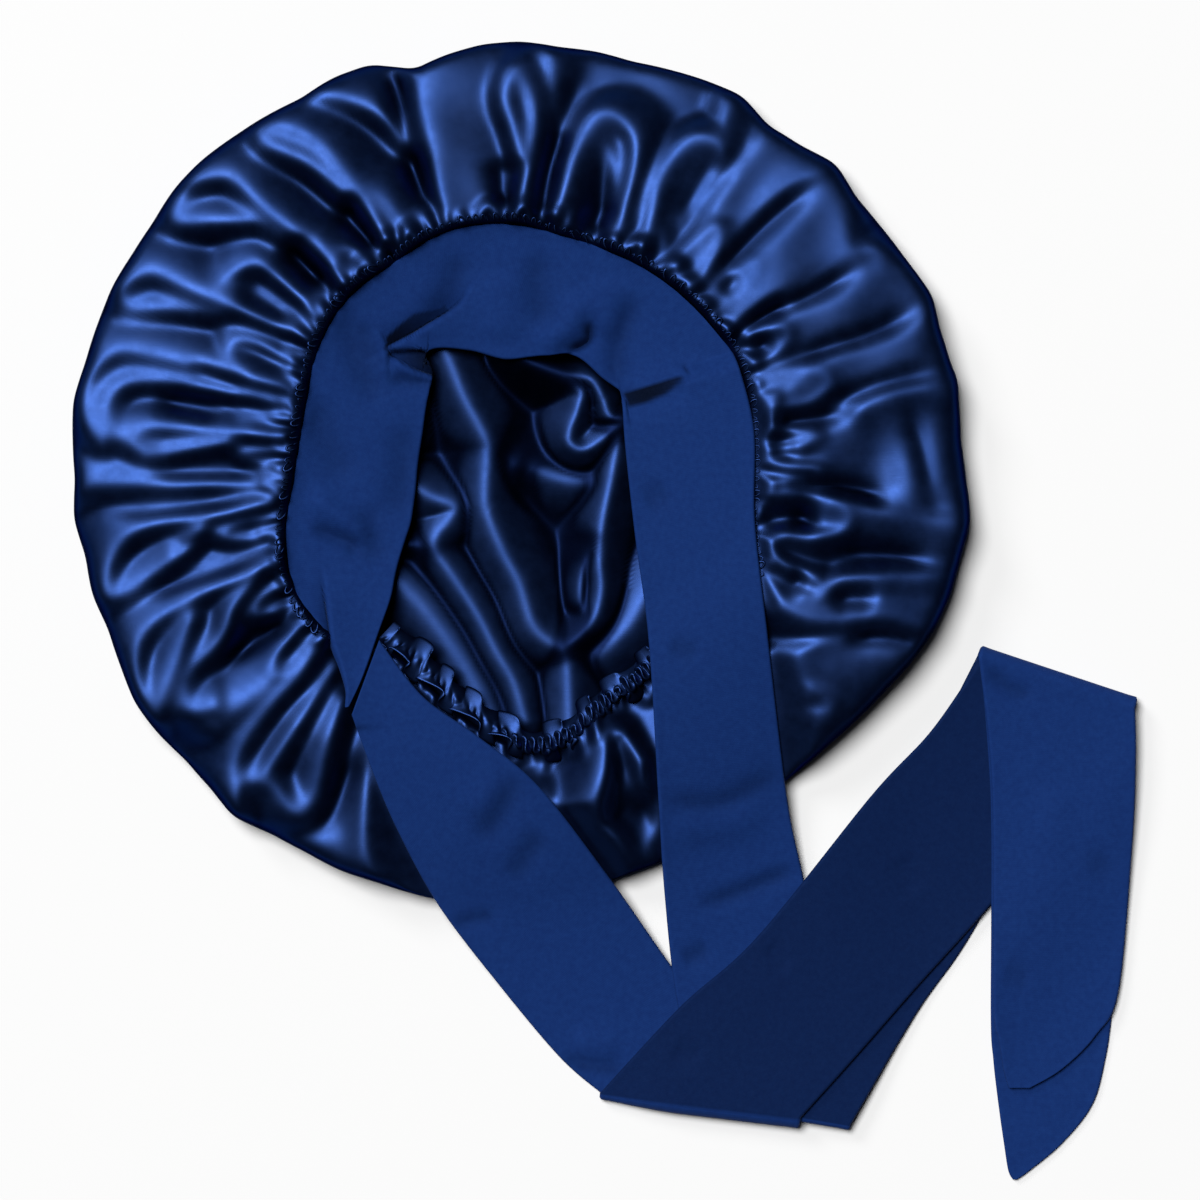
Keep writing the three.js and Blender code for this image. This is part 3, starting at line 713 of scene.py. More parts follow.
bandRows = rowsOf(("outerAngle", "outerRadius", "innerAngle", "innerRadius", "outerSeat", "innerSeat"), (
    (30.6, 98, 41.5, 52.8, 21.6, 19),
    (42, 97.3, 52, 51.6, 21.6, 17.5),
    (55, 97.2, 67, 53.5, 21.6, 17),
    (68, 97, 79, 49.8, 21.6, 17),
    (82, 98.4, 97, 47.8, 21.6, 17),
    (96, 102, 112, 55, 21.6, 17),
    (109, 102.5, 124, 62, 21.6, 18),
    (122, 99, 128.6, 60.6, 21.6, 19),
    (136, 99, 131.3, 52.9, 21.6, 18),
    (150, 94.3, 154, 43, 21.6, 17),
    (165, 89.6, 180, 41.2, 21.6, 17),
    (180, 90, 198, 45, 21.6, 17),
    (195, 96.5, 208, 51.6, 21.6, 17.5),
    (207, 99.8, 218, 63, 21.6, 18.5),
    (217, 99, 223.5, 71.5, 22, 20),
    (225, 102.5, 228.5, 86.5, 24, 22),
    (230.5, 108, 231.5, 99, 26.5, 26),
    (232.8, 113.5, 233.2, 112.3, 27, 27),
))

tieLegs = {
    "left": [
        [(-66.4, -93.4, -55.6, -63.8), (-58.4, -116, -38.4, -86), (-48.4, -140, -16.4, -102),
         (-32.4, -170, 7.6, -122), (-8.4, -202, 36.4, -160), (15.6, -230.8, 67.6, -204),
         (31.6, -244.8, 111.6, -254.4)],
        [(31.6, -244.8, 111.6, -254.4), (63.6, -210, 135.6, -228), (94.4, -182, 157.6, -203.2),
         (139.6, -126, 191.6, -165.2), (163.6, -100, 217.6, -130), (182.8, -72, 243.6, -92.8)],
        [(182.8, -72, 243.6, -92.8), (186, -106, 244.8, -112), (187.6, -140, 243.6, -148),
         (187.6, -212, 236.8, -210), (188.8, -232, 233.6, -232), (191.2, -252, 228.4, -250),
         (193.2, -266, 216.4, -265.2), (194.8, -276, 203.6, -276), (196.6, -279.6, 198.6, -279.6)],
    ],
    "right": [
        [(40.2, 34, 85.2, 48.8), (41.6, 12, 92.4, 20), (45.6, -24, 92.8, -16), (50.8, -64, 97.2, -56),
         (54.8, -128, 106, -126), (57.2, -164, 112.8, -159.2), (61.6, -204, 120.4, -198),
         (70.4, -247.2, 131.6, -257.6)],
        [(70.4, -247.2, 131.6, -257.6), (95.6, -216, 157.6, -214), (123.6, -180, 175.6, -188.8),
         (151.6, -140, 195.6, -156), (165.6, -104, 219.6, -124), (182, -70.4, 244.8, -91.2)],
        [(182, -70.4, 244.8, -91.2), (186.4, -106, 245.2, -110), (188, -140, 244, -146),
         (188.4, -208, 238.8, -204), (190.8, -224, 229.6, -222), (192.8, -236, 216.4, -235.2),
         (194.8, -242.8, 203.6, -242.8)],
    ],
}
stack = [("left", 0), ("right", 0), ("right", 1), ("left", 1), ("left", 2), ("right", 2)]

jerseyCut = {
    "wall": 1.8,
    "layerGap": 0.7,
    "satinSlope": 0.7,
    "liftFull": 6,
    "liftFade": 45,
    "acrossSamples": 60,
    "acrossEvenness": 0.55,
    "stepLength": 1.9,
    "turnSteps": 8,
    "bandStations": 440,
    "jointSkip": 4,
    "jointReach": 14,
    "foldShade": 0.75,
    "bandFoldDepth": 6,
    "tieFoldDepth": 4,
    "reverseShade": 0.6,
}


# Height of a tie's underside over its distance beyond the crown's rim: the tie presses the satin down to it
seatRows = rowsOf(("beyondRim", "height"), (
    (-90, 26.6), (-72, 27.2), (-56, 25.8), (-40, 22.6), (-24, 18.4), (-10, 14), (2, 10), (14, 7.2), (30, 4.6),
    (50, 2.2), (75, 0.4), (90, 0),
))


def satinSeat(x, y):
    beyond = np.hypot(x, y) - rimAt(np.degrees(np.arctan2(y, x)))
    fine = np.linspace(0, len(seatRows["height"]) - 1, 200)
    return np.interp(beyond, spline(seatRows["beyondRim"], fine), spline(seatRows["height"], fine))


# Whether points of the plan lie inside an outline, and how far they are from its line
def outlineDistance(outline, x, y):
    outline = np.array(outline, float)
    inside = np.zeros_like(x, bool)
    nearest = np.full_like(x, 1e9)
    for p, q in zip(outline, np.roll(outline, -1, axis=0)):
        edge = q - p
        if edge @ edge < 1e-9:
            continue
        crosses = (p[1] > y) != (q[1] > y)
        if abs(edge[1]) > 1e-9:
            inside ^= crosses & (x < p[0] + edge[0] * (y - p[1]) / edge[1])
        _, footX, footY = footOn(x, y, p, edge)
        nearest = np.minimum(nearest, np.hypot(x - footX, y - footY))
    return inside, nearest


def distanceToLeg(rows, x, y):
    rows = np.array(rows)
    inside, nearest = outlineDistance(np.concatenate([rows[:, :2], rows[::-1, 2:]]), x, y)
    return np.where(inside, 0, nearest)


# Painted shade in pockets from 0 to 1: each is full inside its outline and fades over "soft" mm
def pocketShade(x, y):
    total = np.zeros_like(x)
    for pocket in bandPockets:
        inside, nearest = outlineDistance(pocket["outline"], x, y)
        depth = np.where(inside, nearest, -nearest)
        fromStart = np.hypot(x - pocket["deepest"][0], y - pocket["deepest"][1])
        fade = mix(1, pocket["endShare"], smooth(fromStart / pocket["length"]))
        total = np.maximum(total, pocket["shade"] * fade * smooth(0.5 + depth / pocket["soft"]))
    return total


def cornerShade(x, y):
    return np.maximum(stepShade(x, y, bandSteps), pocketShade(x, y))


# Height of the folds pressed into a jersey part, and the painted shade in its valleys, full at "deepest" mm
def pressedFolds(x, y, folds, deepest):
    valleys = -ridgeHeight(x, y, [row for row in folds if row[0] < 0])
    return ridgeHeight(x, y, folds), jerseyCut["foldShade"] * np.clip(valleys / deepest, 0, 1)


# A leg of a tie lies on the satin and on the legs below it in the stack
def legHeight(tie, leg, x, y):
    height = satinSeat(x, y) + jerseyCut["wall"] / 2
    for name, number in stack[:stack.index((tie, leg))]:
        away = distanceToLeg(tieLegs[name][number], x, y)
        step = jerseyCut["wall"] + jerseyCut["layerGap"]
        height = height + step * (1 - smooth((away - jerseyCut["liftFull"]) / jerseyCut["liftFade"]))
    return height


# Places across a strip, closer together at its edges
def acrossShares():
    turn = np.linspace(0, math.pi, jerseyCut["acrossSamples"])
    return mix((1 - np.cos(turn)) / 2, turn / math.pi, jerseyCut["acrossEvenness"])


def acrossPlan(left, right, shares):
    return left[:, None] + (right - left)[:, None] * shares[None, :, None]


clothEdge = {
    "round": 0.9,
    "thinning": 0.18,
    "thinOver": 5,
    "least": 0.02,
}


# Closed cloth body from middle lines and normals, one row per section: round at its edges and thinner
# further in
def clothBody(name, shares, middles, normals, width, wall, shade):
    sections, across = middles.shape[:2]
    edge = np.minimum(shares, 1 - shares)[None, :] * width[:, None]
    half = wall / 2 * np.sqrt(1 - np.clip(1 - edge / clothEdge["round"], 0, 1) ** 2)
    half = half * (1 - clothEdge["thinning"] * smooth(edge / clothEdge["thinOver"])) + clothEdge["least"]
    top = middles + normals * half[..., None]
    bottom = middles - normals * half[..., None]
    loop = np.concatenate([top, bottom[:, ::-1]], axis=1)
    index = np.arange(sections * 2 * across).reshape(sections, 2 * across)
    caps = []
    for row, flip in ((index[0], False), (index[-1], True)):
        for k in range(across - 1):
            cap = [row[k], row[k + 1], row[2 * across - 2 - k], row[2 * across - 1 - k]]
            caps.append([int(v) for v in (cap[::-1] if flip else cap)])
    length = lengthAlong(np.linalg.norm(np.diff(middles.mean(1), axis=0), axis=-1))
    wide = np.concatenate([shares, 2 - shares[::-1]]) * width.max()
    uv = np.stack(np.broadcast_arrays(wide[None, :], length[:, None]), axis=-1).reshape(-1, 2)
    paintedShade = np.concatenate([shade, shade[:, ::-1]], axis=1).reshape(-1)
    faces = ringFaces(index, (0, 3, 2, 1)) + caps
    return meshOf(name, loop.reshape(-1, 3) * mm, faces, uv * mm, paintedShade)


# Soft folds pressed into the jersey: height and half width in mm, then points in mm
bandFolds = (
    (-1.8, 6, [(-70, 72), (-65, 50), (-58, 34), (-54, 26)]),
    (-1.2, 3.4, [(-62, 64), (-58, 50), (-51, 46)]),
    (-2.4, 3.4, [(-30, 40), (-40, 38.4), (-54, 40)]),
    (-1.8, 6, [(10, 92), (7, 78), (11, 56)]),
    (-4, 2, [(18, 51), (23, 52.4), (27, 55), (27.4, 59), (26, 63)]),
    (-1.2, 4, [(27.4, 68), (27, 58), (22, 52), (12, 50)]),
    (2.4, 6, [(26, 76), (18, 60), (4, 50)]),
    (-2.2, 5, [(47, 76), (40, 56), (38.4, 46), (40, 30)]),
    (-1.8, 6, [(-22, 92), (-27, 76), (-36, 60)]),
    (1.6, 8, [(-8, 84), (-8, 52)]),
    (1.6, 8, [(36, 82), (32, 54)]),
    (-2.2, 5, [(40, 22), (58, 17), (67, 26), (76, 46)]),
    (1.6, 6, [(48, 26), (62, 32), (70, 50)]),
    (-1.2, 6, [(40, 14), (54, 10), (76, 8)]),
    (-1.6, 7, [(-46, 26), (-46, 4), (-50, -20)]),
    (-1.6, 7, [(-84, 34), (-74, 10), (-66, -4)]),
    (2.6, 5, [(-86, -4), (-74, -13), (-64, -20), (-62, -30)]),
    (-2.4, 3.4, [(-84, -18), (-74, -23), (-67, -26), (-66, -34)]),
    (-1.4, 6, [(-62, -8), (-56, -38)]),
)
# Places where the band lies over itself: at its two front corners and where its left end is twisted
# Each row also gives the painted shade below the step: its darkness, reach and sharpness
stepColumns = ("high", "highReach", "low", "lowReach", "startFade", "endFade", "shade", "shadeReach",
               "shadePower", "path")
bandSteps = [dict(zip(stepColumns, row)) for row in (
    (2.4, 10, 4.6, 5.4, 0.5, 0.03, 0.7, 2.5, 1.5,
     [(-16.4, 80), (-19.2, 76.8), (-23.2, 70), (-28, 66), (-35.2, 61.6), (-42.4, 57.2), (-53.2, 51.4)]),
    (0.6, 4, 4.4, 6, 0.05, 0.02, 0.9, 1.5, 1.5,
     [(-53.4, 51.2), (-48.4, 51.4), (-42.4, 51.6), (-37, 51.2)]),
    (1.6, 6, 2.4, 4, 0.02, 0.05, 0.6, 4, 2,
     [(-34, 40.2), (-42.4, 43.2), (-50.8, 47.6), (-53.4, 51)]),
    (1.8, 7, 5, 7, 0.02, 0.2, 1, 3, 1.4,
     [(40, 34.2), (45.2, 35.4), (50.4, 36.8), (55.6, 38.2), (60.8, 39.6), (65.4, 40.8)]),
    (1, 4, 1.6, 3, 0.5, 0.2, 0.5, 1.6, 1.3,
     [(65.4, 47), (66.6, 44), (65.6, 41.4), (64, 41.6)]),
    (3, 10, 2, 4, 0.3, 0.05, 0.9, 2, 1.2,
     [(-78.4, -34), (-76, -52.8), (-71.6, -83.6), (-70.8, -100)]),
)]
# Pockets of painted shade where the band folds under itself: darkest point, length, share left at the far
# end, darkness, softness and outline
pocketColumns = ("deepest", "length", "endShare", "shade", "soft", "outline")
bandPockets = [dict(zip(pocketColumns, row)) for row in (
    ((-51, 54.5), 24, 0.6, 1, 1.3,
     [(-54, 51.2), (-53.2, 56.8), (-47.2, 62), (-42.4, 65.6), (-37.6, 66.8), (-32.8, 68), (-30, 69.6),
      (-28, 66.8), (-35.2, 62), (-42.4, 57.6), (-52.8, 51.6)]),
    ((-36, 48), 18, 0.45, 0.95, 1.2,
     [(-53.2, 50.8), (-46, 51.6), (-38, 51.8), (-34, 45), (-33.6, 39.2), (-38, 41.2), (-43.6, 43.2),
      (-50, 47.6)]),
    ((50, 34), 24, 0.8, 1, 2.6,
     [(40, 34.8), (45.2, 36.2), (55.6, 39), (65.6, 41.6), (64.4, 38), (58, 33.2), (50, 29.6), (43, 28)]),
)]
tieFolds = {
    ("left", 0): (
        (-1.5, 5, [(0, -115), (-8, -132), (-18, -146)]),
        (-1.4, 5, [(11, -139), (2, -150), (-4, -162)]),
        (-1.2, 3, [(-28, -178), (-18, -175), (-8, -174)]),
        (1.2, 7, [(-8, -118), (-20, -134)]),
        (-1.4, 3, [(16, -229), (26, -234), (44, -236)]),
        (1.2, 5, [(20, -222), (40, -228)]),
    ),
    ("right", 0): (
        (-1.4, 4, [(53, -126), (76, -129), (97, -120), (106, -113)]),
        (1.1, 6, [(56, -138), (78, -139), (100, -132)]),
        (-1.6, 3.5, [(67, -171), (86, -165), (107, -157), (113, -160)]),
        (-1, 4, [(58, -66), (72, -70)]),
        (-1.2, 4, [(64, -193), (76, -186)]),
        (-0.9, 6, [(48, -10), (60, -4)]),
    ),
    ("left", 1): (
        (-1, 4, [(98, -184), (108, -196)]),
        (-0.8, 5, [(150, -150), (158, -166)]),
        (-0.8, 5, [(60, -226), (72, -232)]),
    ),
    ("right", 1): (
        (-1, 4, [(120, -195), (128, -208)]),
    ),
    ("left", 2): (
        (-1.2, 5, [(190, -96), (200, -104), (214, -106)]),
        (-0.8, 5, [(226, -190), (236, -196)]),
    ),
    ("right", 2): (
        (-1.4, 3, [(184, -74), (196, -84), (206, -86)]),
        (0.9, 7, [(214, -120), (210, -150)]),
        (-0.8, 5, [(236, -150), (226, -158)]),
        (-0.8, 5, [(192, -196), (204, -200)]),
    ),
}


# Grid of the band's middle surface with its normals, widths and painted shade
def bandGrid():
    place = np.linspace(0, len(bandRows["outerAngle"]) - 1, jerseyCut["bandStations"])
    value = {name: spline(column, place) for name, column in bandRows.items()}
    shares = acrossShares()
    outer, inner = (np.stack(polar(value[side + "Angle"], value[side + "Radius"]), axis=-1)
                    for side in ("outer", "inner"))
    plan = acrossPlan(outer, inner, shares)
    x, y = plan[..., 0], plan[..., 1]
    seat = mix(value["outerSeat"][:, None], value["innerSeat"][:, None], shares[None, :])
    folds, shade = pressedFolds(x, y, bandFolds, jerseyCut["bandFoldDepth"])
    folds = folds + stepHeight(x, y, bandSteps)
    z = seat + jerseyCut["wall"] / 2 + folds * smooth(shares * 8)[None, :]
    grid = np.stack([x, y, z], axis=-1)
    widths = np.linalg.norm(outer - inner, axis=-1)
    return grid, surfaceNormals(grid), widths, np.maximum(shade, cornerShade(x, y))


# The cloth's half turn from the end of one leg of a tie up to the next
def legTurn(tie, leg, rows, plan, width, side):
    start, end = rows[0], rows[-1]
    outward = np.array([end[3] - end[1], end[0] - end[2]])
    outward /= np.linalg.norm(outward)
    if outward @ (start[:2] - end[:2]) > 0:
        outward = -outward
    x, y = plan[:, 0], plan[:, 1]
    low = legHeight(tie, leg, x, y)
    radius = (legHeight(tie, leg + 1, x, y) - low) / 2
    for i in range(1, jerseyCut["turnSteps"] + 1):
        turn = math.pi * i / (jerseyCut["turnSteps"] + 1)
        reach = radius * math.sin(turn)
        point = np.stack([x + outward[0] * reach, y + outward[1] * reach,
                          low + radius * (1 - math.cos(turn))], axis=-1)
        normal = np.array([*(-outward * math.sin(turn)), math.cos(turn)])
        yield point[None], np.broadcast_to(normal * side, point.shape)[None], width, np.zeros((1, len(x)))


# Grid of a tie's middle surface, leg after leg, with its normals, widths and painted shade
def tieGrid(tie):
    shares = acrossShares()
    parts = []
    legs = [np.array(rows, float) for rows in tieLegs[tie]]
    for leg, rows in enumerate(legs):
        side = 1 if leg % 2 == 0 else -1
        centre = (rows[:, :2] + rows[:, 2:]) / 2
        length = np.linalg.norm(np.diff(centre, axis=0), axis=-1).sum()
        line = spline(rows, np.linspace(0, len(rows) - 1, round(length / jerseyCut["stepLength"])))
        plan = acrossPlan(line[:, :2], line[:, 2:], shares)
        x, y = plan[..., 0], plan[..., 1]
        folds, shade = pressedFolds(x, y, tieFolds[(tie, leg)], jerseyCut["tieFoldDepth"])
        z = legHeight(tie, leg, x, y) + folds
        if leg == 0:
            z = z + stepHeight(x, y, bandSteps)
            shade = np.maximum(shade, cornerShade(x, y))
        # the turned-over legs, which show the cloth's back face, are darkened all over
        if side < 0:
            shade = np.maximum(shade, jerseyCut["reverseShade"])
        grid = np.stack([x, y, z], axis=-1)
        width = np.linalg.norm(line[:, 2:] - line[:, :2], axis=-1)
        parts.append((grid, surfaceNormals(grid) * side, width, shade))
        if leg < len(legs) - 1:
            parts += legTurn(tie, leg, rows, plan[-1], width[-1:], side)
    grid, normals, widths, shades = (np.concatenate(part) for part in zip(*parts))
    grid[..., 2] = np.maximum(grid[..., 2], jerseyCut["wall"] / 2)
    return grid, normals, widths, shades


def leftTie():
    grid, normals, widths, shades = tieGrid("left")
    return clothBody("left_tie_cloth", acrossShares(), grid, normals, widths, jerseyCut["wall"], shades)


# The right tie runs on into the head band over a crease at the corner
def bandAndRightTie():
    skip, reach = jerseyCut["jointSkip"], jerseyCut["jointReach"]
    tie = [part[::-1, ::-1] if part.ndim > 1 else part[::-1] for part in tieGrid("right")]
    grid, normals, widths, shades = (np.concatenate([a[:-skip], b]) for a, b in zip(tie, bandGrid()))
    joint = len(tie[0]) - skip
    part, before, after = (slice(joint - reach + k, joint + reach + k) for k in (0, -1, 1))
    for _ in range(3):
        for field in (grid, normals):
            field[part] = 0.5 * field[part] + 0.25 * (field[before] + field[after])
    name = "band_and_right_tie_cloth"
    return clothBody(name, acrossShares(), grid, normals, widths, jerseyCut["wall"], shades)


# Nape casing

casingCut = {
    "from": 228.5,
    "to": 327,
    "stations": 1150,
    "across": 26,
    "wall": 0.7,
    "channelPlace": 0.42,
    "petalLength": 14,
    "pleatLength": 3.6,
    "petalReach": 3.2,
    "innerReach": 1.8,
    "pleatReach": 3.2,
    "petalLift": 2.6,
    "leftReach": (0, 12),
    "rightReach": (-3.4, 8.5),
    "leftSeat": (22.4, 18.6),
    "rightSeat": 17,
    "rightCrown": 3.6,
    "clothWidth": 14,
    "tightFrom": 262,
    "tightOver": 12,
    "seed": 5,
}


# A wave whose pace wanders, so that no two ruffles are alike: its turn and its swell along the line
def unevenWave(length, period, spread, seed):
    rng = np.random.default_rng(seed)
    knots = np.linspace(0, length[-1], int(length[-1] / period * 2) + 4)
    pace = np.interp(length, knots, rng.uniform(1 - spread, 1 + spread, len(knots)))
    turn = np.cumsum(np.gradient(length) * pace) * 2 * math.pi / period
    swell = np.interp(length, knots, rng.uniform(0.55, 1.35, len(knots)))
    return turn[:, None], swell[:, None]


# The channel meanders tightly over its elastic at the right; its two free edges run out into broad petals
def napeCasing():
    cut = casingCut
    petal, pleat, middle = cut["petalLength"], cut["pleatLength"], cut["channelPlace"]
    angle = np.linspace(cut["from"], cut["to"], cut["stations"])
    mouth = gatherRadius(angle)
    length = lengthAlong(np.radians(np.diff(angle)) * mouth[1:])
    share = np.linspace(0, 1, cut["across"])[None, :]
    outer = np.clip(1 - share / middle, 0, 1) ** 1.2
    inner = np.clip((share - middle) / (1 - middle), 0, 1) ** 1.2

    def nearChannel(width):
        return np.exp(-((share - middle) / width) ** 2)

    channel = nearChannel(0.13)
    tight = smooth((angle - cut["tightFrom"]) / cut["tightOver"])[:, None]
    outerTurn, outerSwell = unevenWave(length, petal, 0.4, cut["seed"])
    innerTurn, innerSwell = unevenWave(length, petal * 1.15, 0.4, cut["seed"] + 1)
    pleatTurn, pleatSwell = unevenWave(length, pleat, 0.3, cut["seed"] + 2)
    # towards the middle of the opening
    reach = mix(*(mix(left, right, tight) for left, right in zip(cut["leftReach"], cut["rightReach"])), share)
    reach = reach + outer * outerSwell * cut["petalReach"] * np.cos(outerTurn)
    reach = reach + inner * innerSwell * cut["innerReach"] * np.cos(innerTurn)
    reach = reach + channel * tight * pleatSwell * cut["pleatReach"] * np.cos(pleatTurn)
    # along the opening
    sway = outer * outerSwell * petal * 0.2 * np.sin(2 * outerTurn + 0.5)
    sway = sway + outer * 1.8 * np.sin(outerTurn) + inner * innerSwell * 1.6 * np.sin(2 * innerTurn)
    sway = sway + channel * tight * pleat * 0.2 * np.sin(2 * pleatTurn)
    # upwards
    leftSeat = mix(*cut["leftSeat"], share ** 1.4)
    z = mix(leftSeat, cut["rightSeat"] + cut["rightCrown"] * nearChannel(0.4), tight)
    z = z + outer * outerSwell * cut["petalLift"] * np.sin(outerTurn + 0.7)
    z = z + inner * innerSwell * cut["petalLift"] * np.sin(innerTurn)
    z = z + nearChannel(0.06) * 1.4 * tight
    z = z + channel * pleatSwell * mix(0.3, 1.3, tight) * np.sin(pleatTurn)
    radius = mouth[:, None] - reach
    turn = np.radians(angle)[:, None] + sway / mouth[:, None]
    grid = np.stack([radius * np.cos(turn), radius * np.sin(turn), z], axis=-1)
    # painted shade where the cloth lies below its section's mean height, less where the channel is tight
    shade = np.clip(0.2 * (z.mean(axis=1, keepdims=True) - z) - 0.1 * tight, 0, 0.7)
    widths = cut["clothWidth"] * np.ones(len(angle))
    return clothBody("nape_casing_cloth", share[0], grid, surfaceNormals(grid), widths, cut["wall"], shade)


# Nodes

def feed(tree, socket, value):
    if isinstance(value, bpy.types.NodeSocket):
        tree.links.new(value, socket)
    else:
        socket.default_value = value


# A node with its settings; an input takes another node's output or a fixed value
def addNode(tree, kind, inputs=(), **settings):
    node = tree.nodes.new(kind)
    for name, value in settings.items():
        setattr(node, name, value)
    for label, value in dict(inputs).items():
        feed(tree, node.inputs[label], value)
    return node


def ofType(sockets, kind):
    return [socket for socket in sockets if socket.type == kind]


def mathNode(tree, operation, *values):
    return addNode(tree, "ShaderNodeMath", enumerate(values), operation=operation).outputs[0]


# An empty group with its named inputs and outputs; it returns the tree, the outputs of its input node,
# its output node and the identifiers of its inputs
def newGroup(name, kind, inputs, outputs):
    tree = bpy.data.node_groups.new(name, kind)
    identifiers = {}
    for label, socketKind, value in inputs:
        socket = tree.interface.new_socket(name=label, in_out="INPUT", socket_type=socketKind)
        identifiers[label] = socket.identifier
        if value is not None:
            socket.default_value = value
    for label, socketKind in outputs:
        tree.interface.new_socket(name=label, in_out="OUTPUT", socket_type=socketKind)
    return tree, tree.nodes.new("NodeGroupInput").outputs, tree.nodes.new("NodeGroupOutput"), identifiers


# Tiny tucks of satin at the seam of the head band, set along the gather line by Geometry Nodes
tuckCut = {
    "count": 170,
    "ringRadius": 1.3,
    "clothRadius": 0.42,
    "smallest": 0.4,
    "largest": 1.4,
    "turn": 0.9,
    "seed": 4,
    "above": 0.5,
    "place": 0.012,
    "fromAngle": -32,
    "overAngle": 258,
}


def tuckShape():
    tail = 0.15 * math.pi
    around = np.linspace(0, 2 * math.pi, 6, endpoint=False)
    rows = []
    for turn in np.linspace(-tail, math.pi + tail, 11):
        axis = np.array([math.cos(turn) * 0.75, math.sin(turn) * 1.5, 0.25 * math.sin(turn)])
        out = np.array([math.cos(turn), math.sin(turn), 0])
        thin = tuckCut["clothRadius"] * (0.35 + 0.65 * math.sin((turn + tail) / 1.3))
        rows.append([axis * tuckCut["ringRadius"]
                     + thin * (math.cos(a) * out + np.array([0, 0, 1.3 * math.sin(a)])) for a in around])
    points = np.array(rows)
    index = np.arange(points.shape[0] * points.shape[1]).reshape(points.shape[:2])
    faces = ringFaces(index) + [index[0, ::-1].tolist(), index[-1].tolist()]
    return meshOf("tuck", points.reshape(-1, 3) * mm, faces)


# A number from low to high for each point, from a fixed seed
def randomFloat(tree, low, high, seed):
    node = addNode(tree, "FunctionNodeRandomValue", {"Seed": seed}, data_type="FLOAT")
    for socket, value in zip(ofType(node.inputs, "VALUE"), (low, high)):
        feed(tree, socket, value)
    return ofType(node.outputs, "VALUE")[0]


# Each tuck points outwards from the middle, swung to either side by up to Turn, and has its own size
def tuckTree(shape, material):
    tree, given, leave, identifiers = newGroup(
        "tucks along a seam", "GeometryNodeTree",
        [("Line", "NodeSocketGeometry", None), ("Count", "NodeSocketInt", 10),
         ("Smallest", "NodeSocketFloat", 1.0), ("Largest", "NodeSocketFloat", 1.0),
         ("Turn", "NodeSocketFloat", 0.0), ("Seed", "NodeSocketInt", 0)],
        [("Tucks", "NodeSocketGeometry")])
    curve = addNode(tree, "GeometryNodeMeshToCurve", {"Mesh": given["Line"]}).outputs["Curve"]
    points = {"Curve": curve, "Count": given["Count"]}
    points = addNode(tree, "GeometryNodeCurveToPoints", points, mode="COUNT")
    where = addNode(tree, "GeometryNodeInputPosition").outputs["Position"]
    where = addNode(tree, "ShaderNodeSeparateXYZ", {0: where}).outputs
    outward = mathNode(tree, "SUBTRACT", mathNode(tree, "ARCTAN2", where["Y"], where["X"]), math.pi / 2)
    swing = randomFloat(tree, mathNode(tree, "MULTIPLY", given["Turn"], -1), given["Turn"], given["Seed"])
    turned = addNode(tree, "ShaderNodeCombineXYZ", {"Z": mathNode(tree, "ADD", outward, swing)})
    placed = addNode(tree, "GeometryNodeInstanceOnPoints", {
        "Points": points.outputs["Points"],
        "Instance": addNode(tree, "GeometryNodeObjectInfo", {"Object": shape}).outputs["Geometry"],
        "Rotation": turned.outputs[0],
        "Scale": randomFloat(tree, given["Smallest"], given["Largest"], given["Seed"]),
    })
    real = addNode(tree, "GeometryNodeRealizeInstances", {"Geometry": placed.outputs["Instances"]})
    dressed = addNode(tree, "GeometryNodeSetMaterial", {"Geometry": real.outputs["Geometry"],
                                                        "Material": material})
    feed(tree, leave.inputs["Tucks"], dressed.outputs["Geometry"])
    return tree, identifiers


def seamTucks(material, seamRow):
    cut = tuckCut
    angle = np.mod(np.degrees(np.arctan2(seamRow[:, 1], seamRow[:, 0])) - cut["fromAngle"], 360)
    order = np.argsort(angle)
    line = seamRow[order][angle[order] < cut["overAngle"]]
    line[:, 2] += cut["above"]
    mesh = bpy.data.meshes.new("seam line")
    mesh.from_pydata((line * mm).tolist(), [(i, i + 1) for i in range(len(line) - 1)], [])
    seam = addObject("seam_tucks", mesh)
    shape = tuckShape()
    modifier = seam.modifiers.new("tucks", "NODES")
    modifier.node_group, identifiers = tuckTree(shape, material)
    for label in ("Count", "Smallest", "Largest", "Turn", "Seed"):
        modifier[identifiers[label]] = cut[label.lower()]
    graph = bpy.context.evaluated_depsgraph_get()
    made = bpy.data.meshes.new_from_object(seam.evaluated_get(graph))
    seam.modifiers.remove(modifier)
    seam.data = made
    made.polygons.foreach_set("use_smooth", np.ones(len(made.polygons), bool))
    bpy.data.objects.remove(shape)
    return seam


# Materials

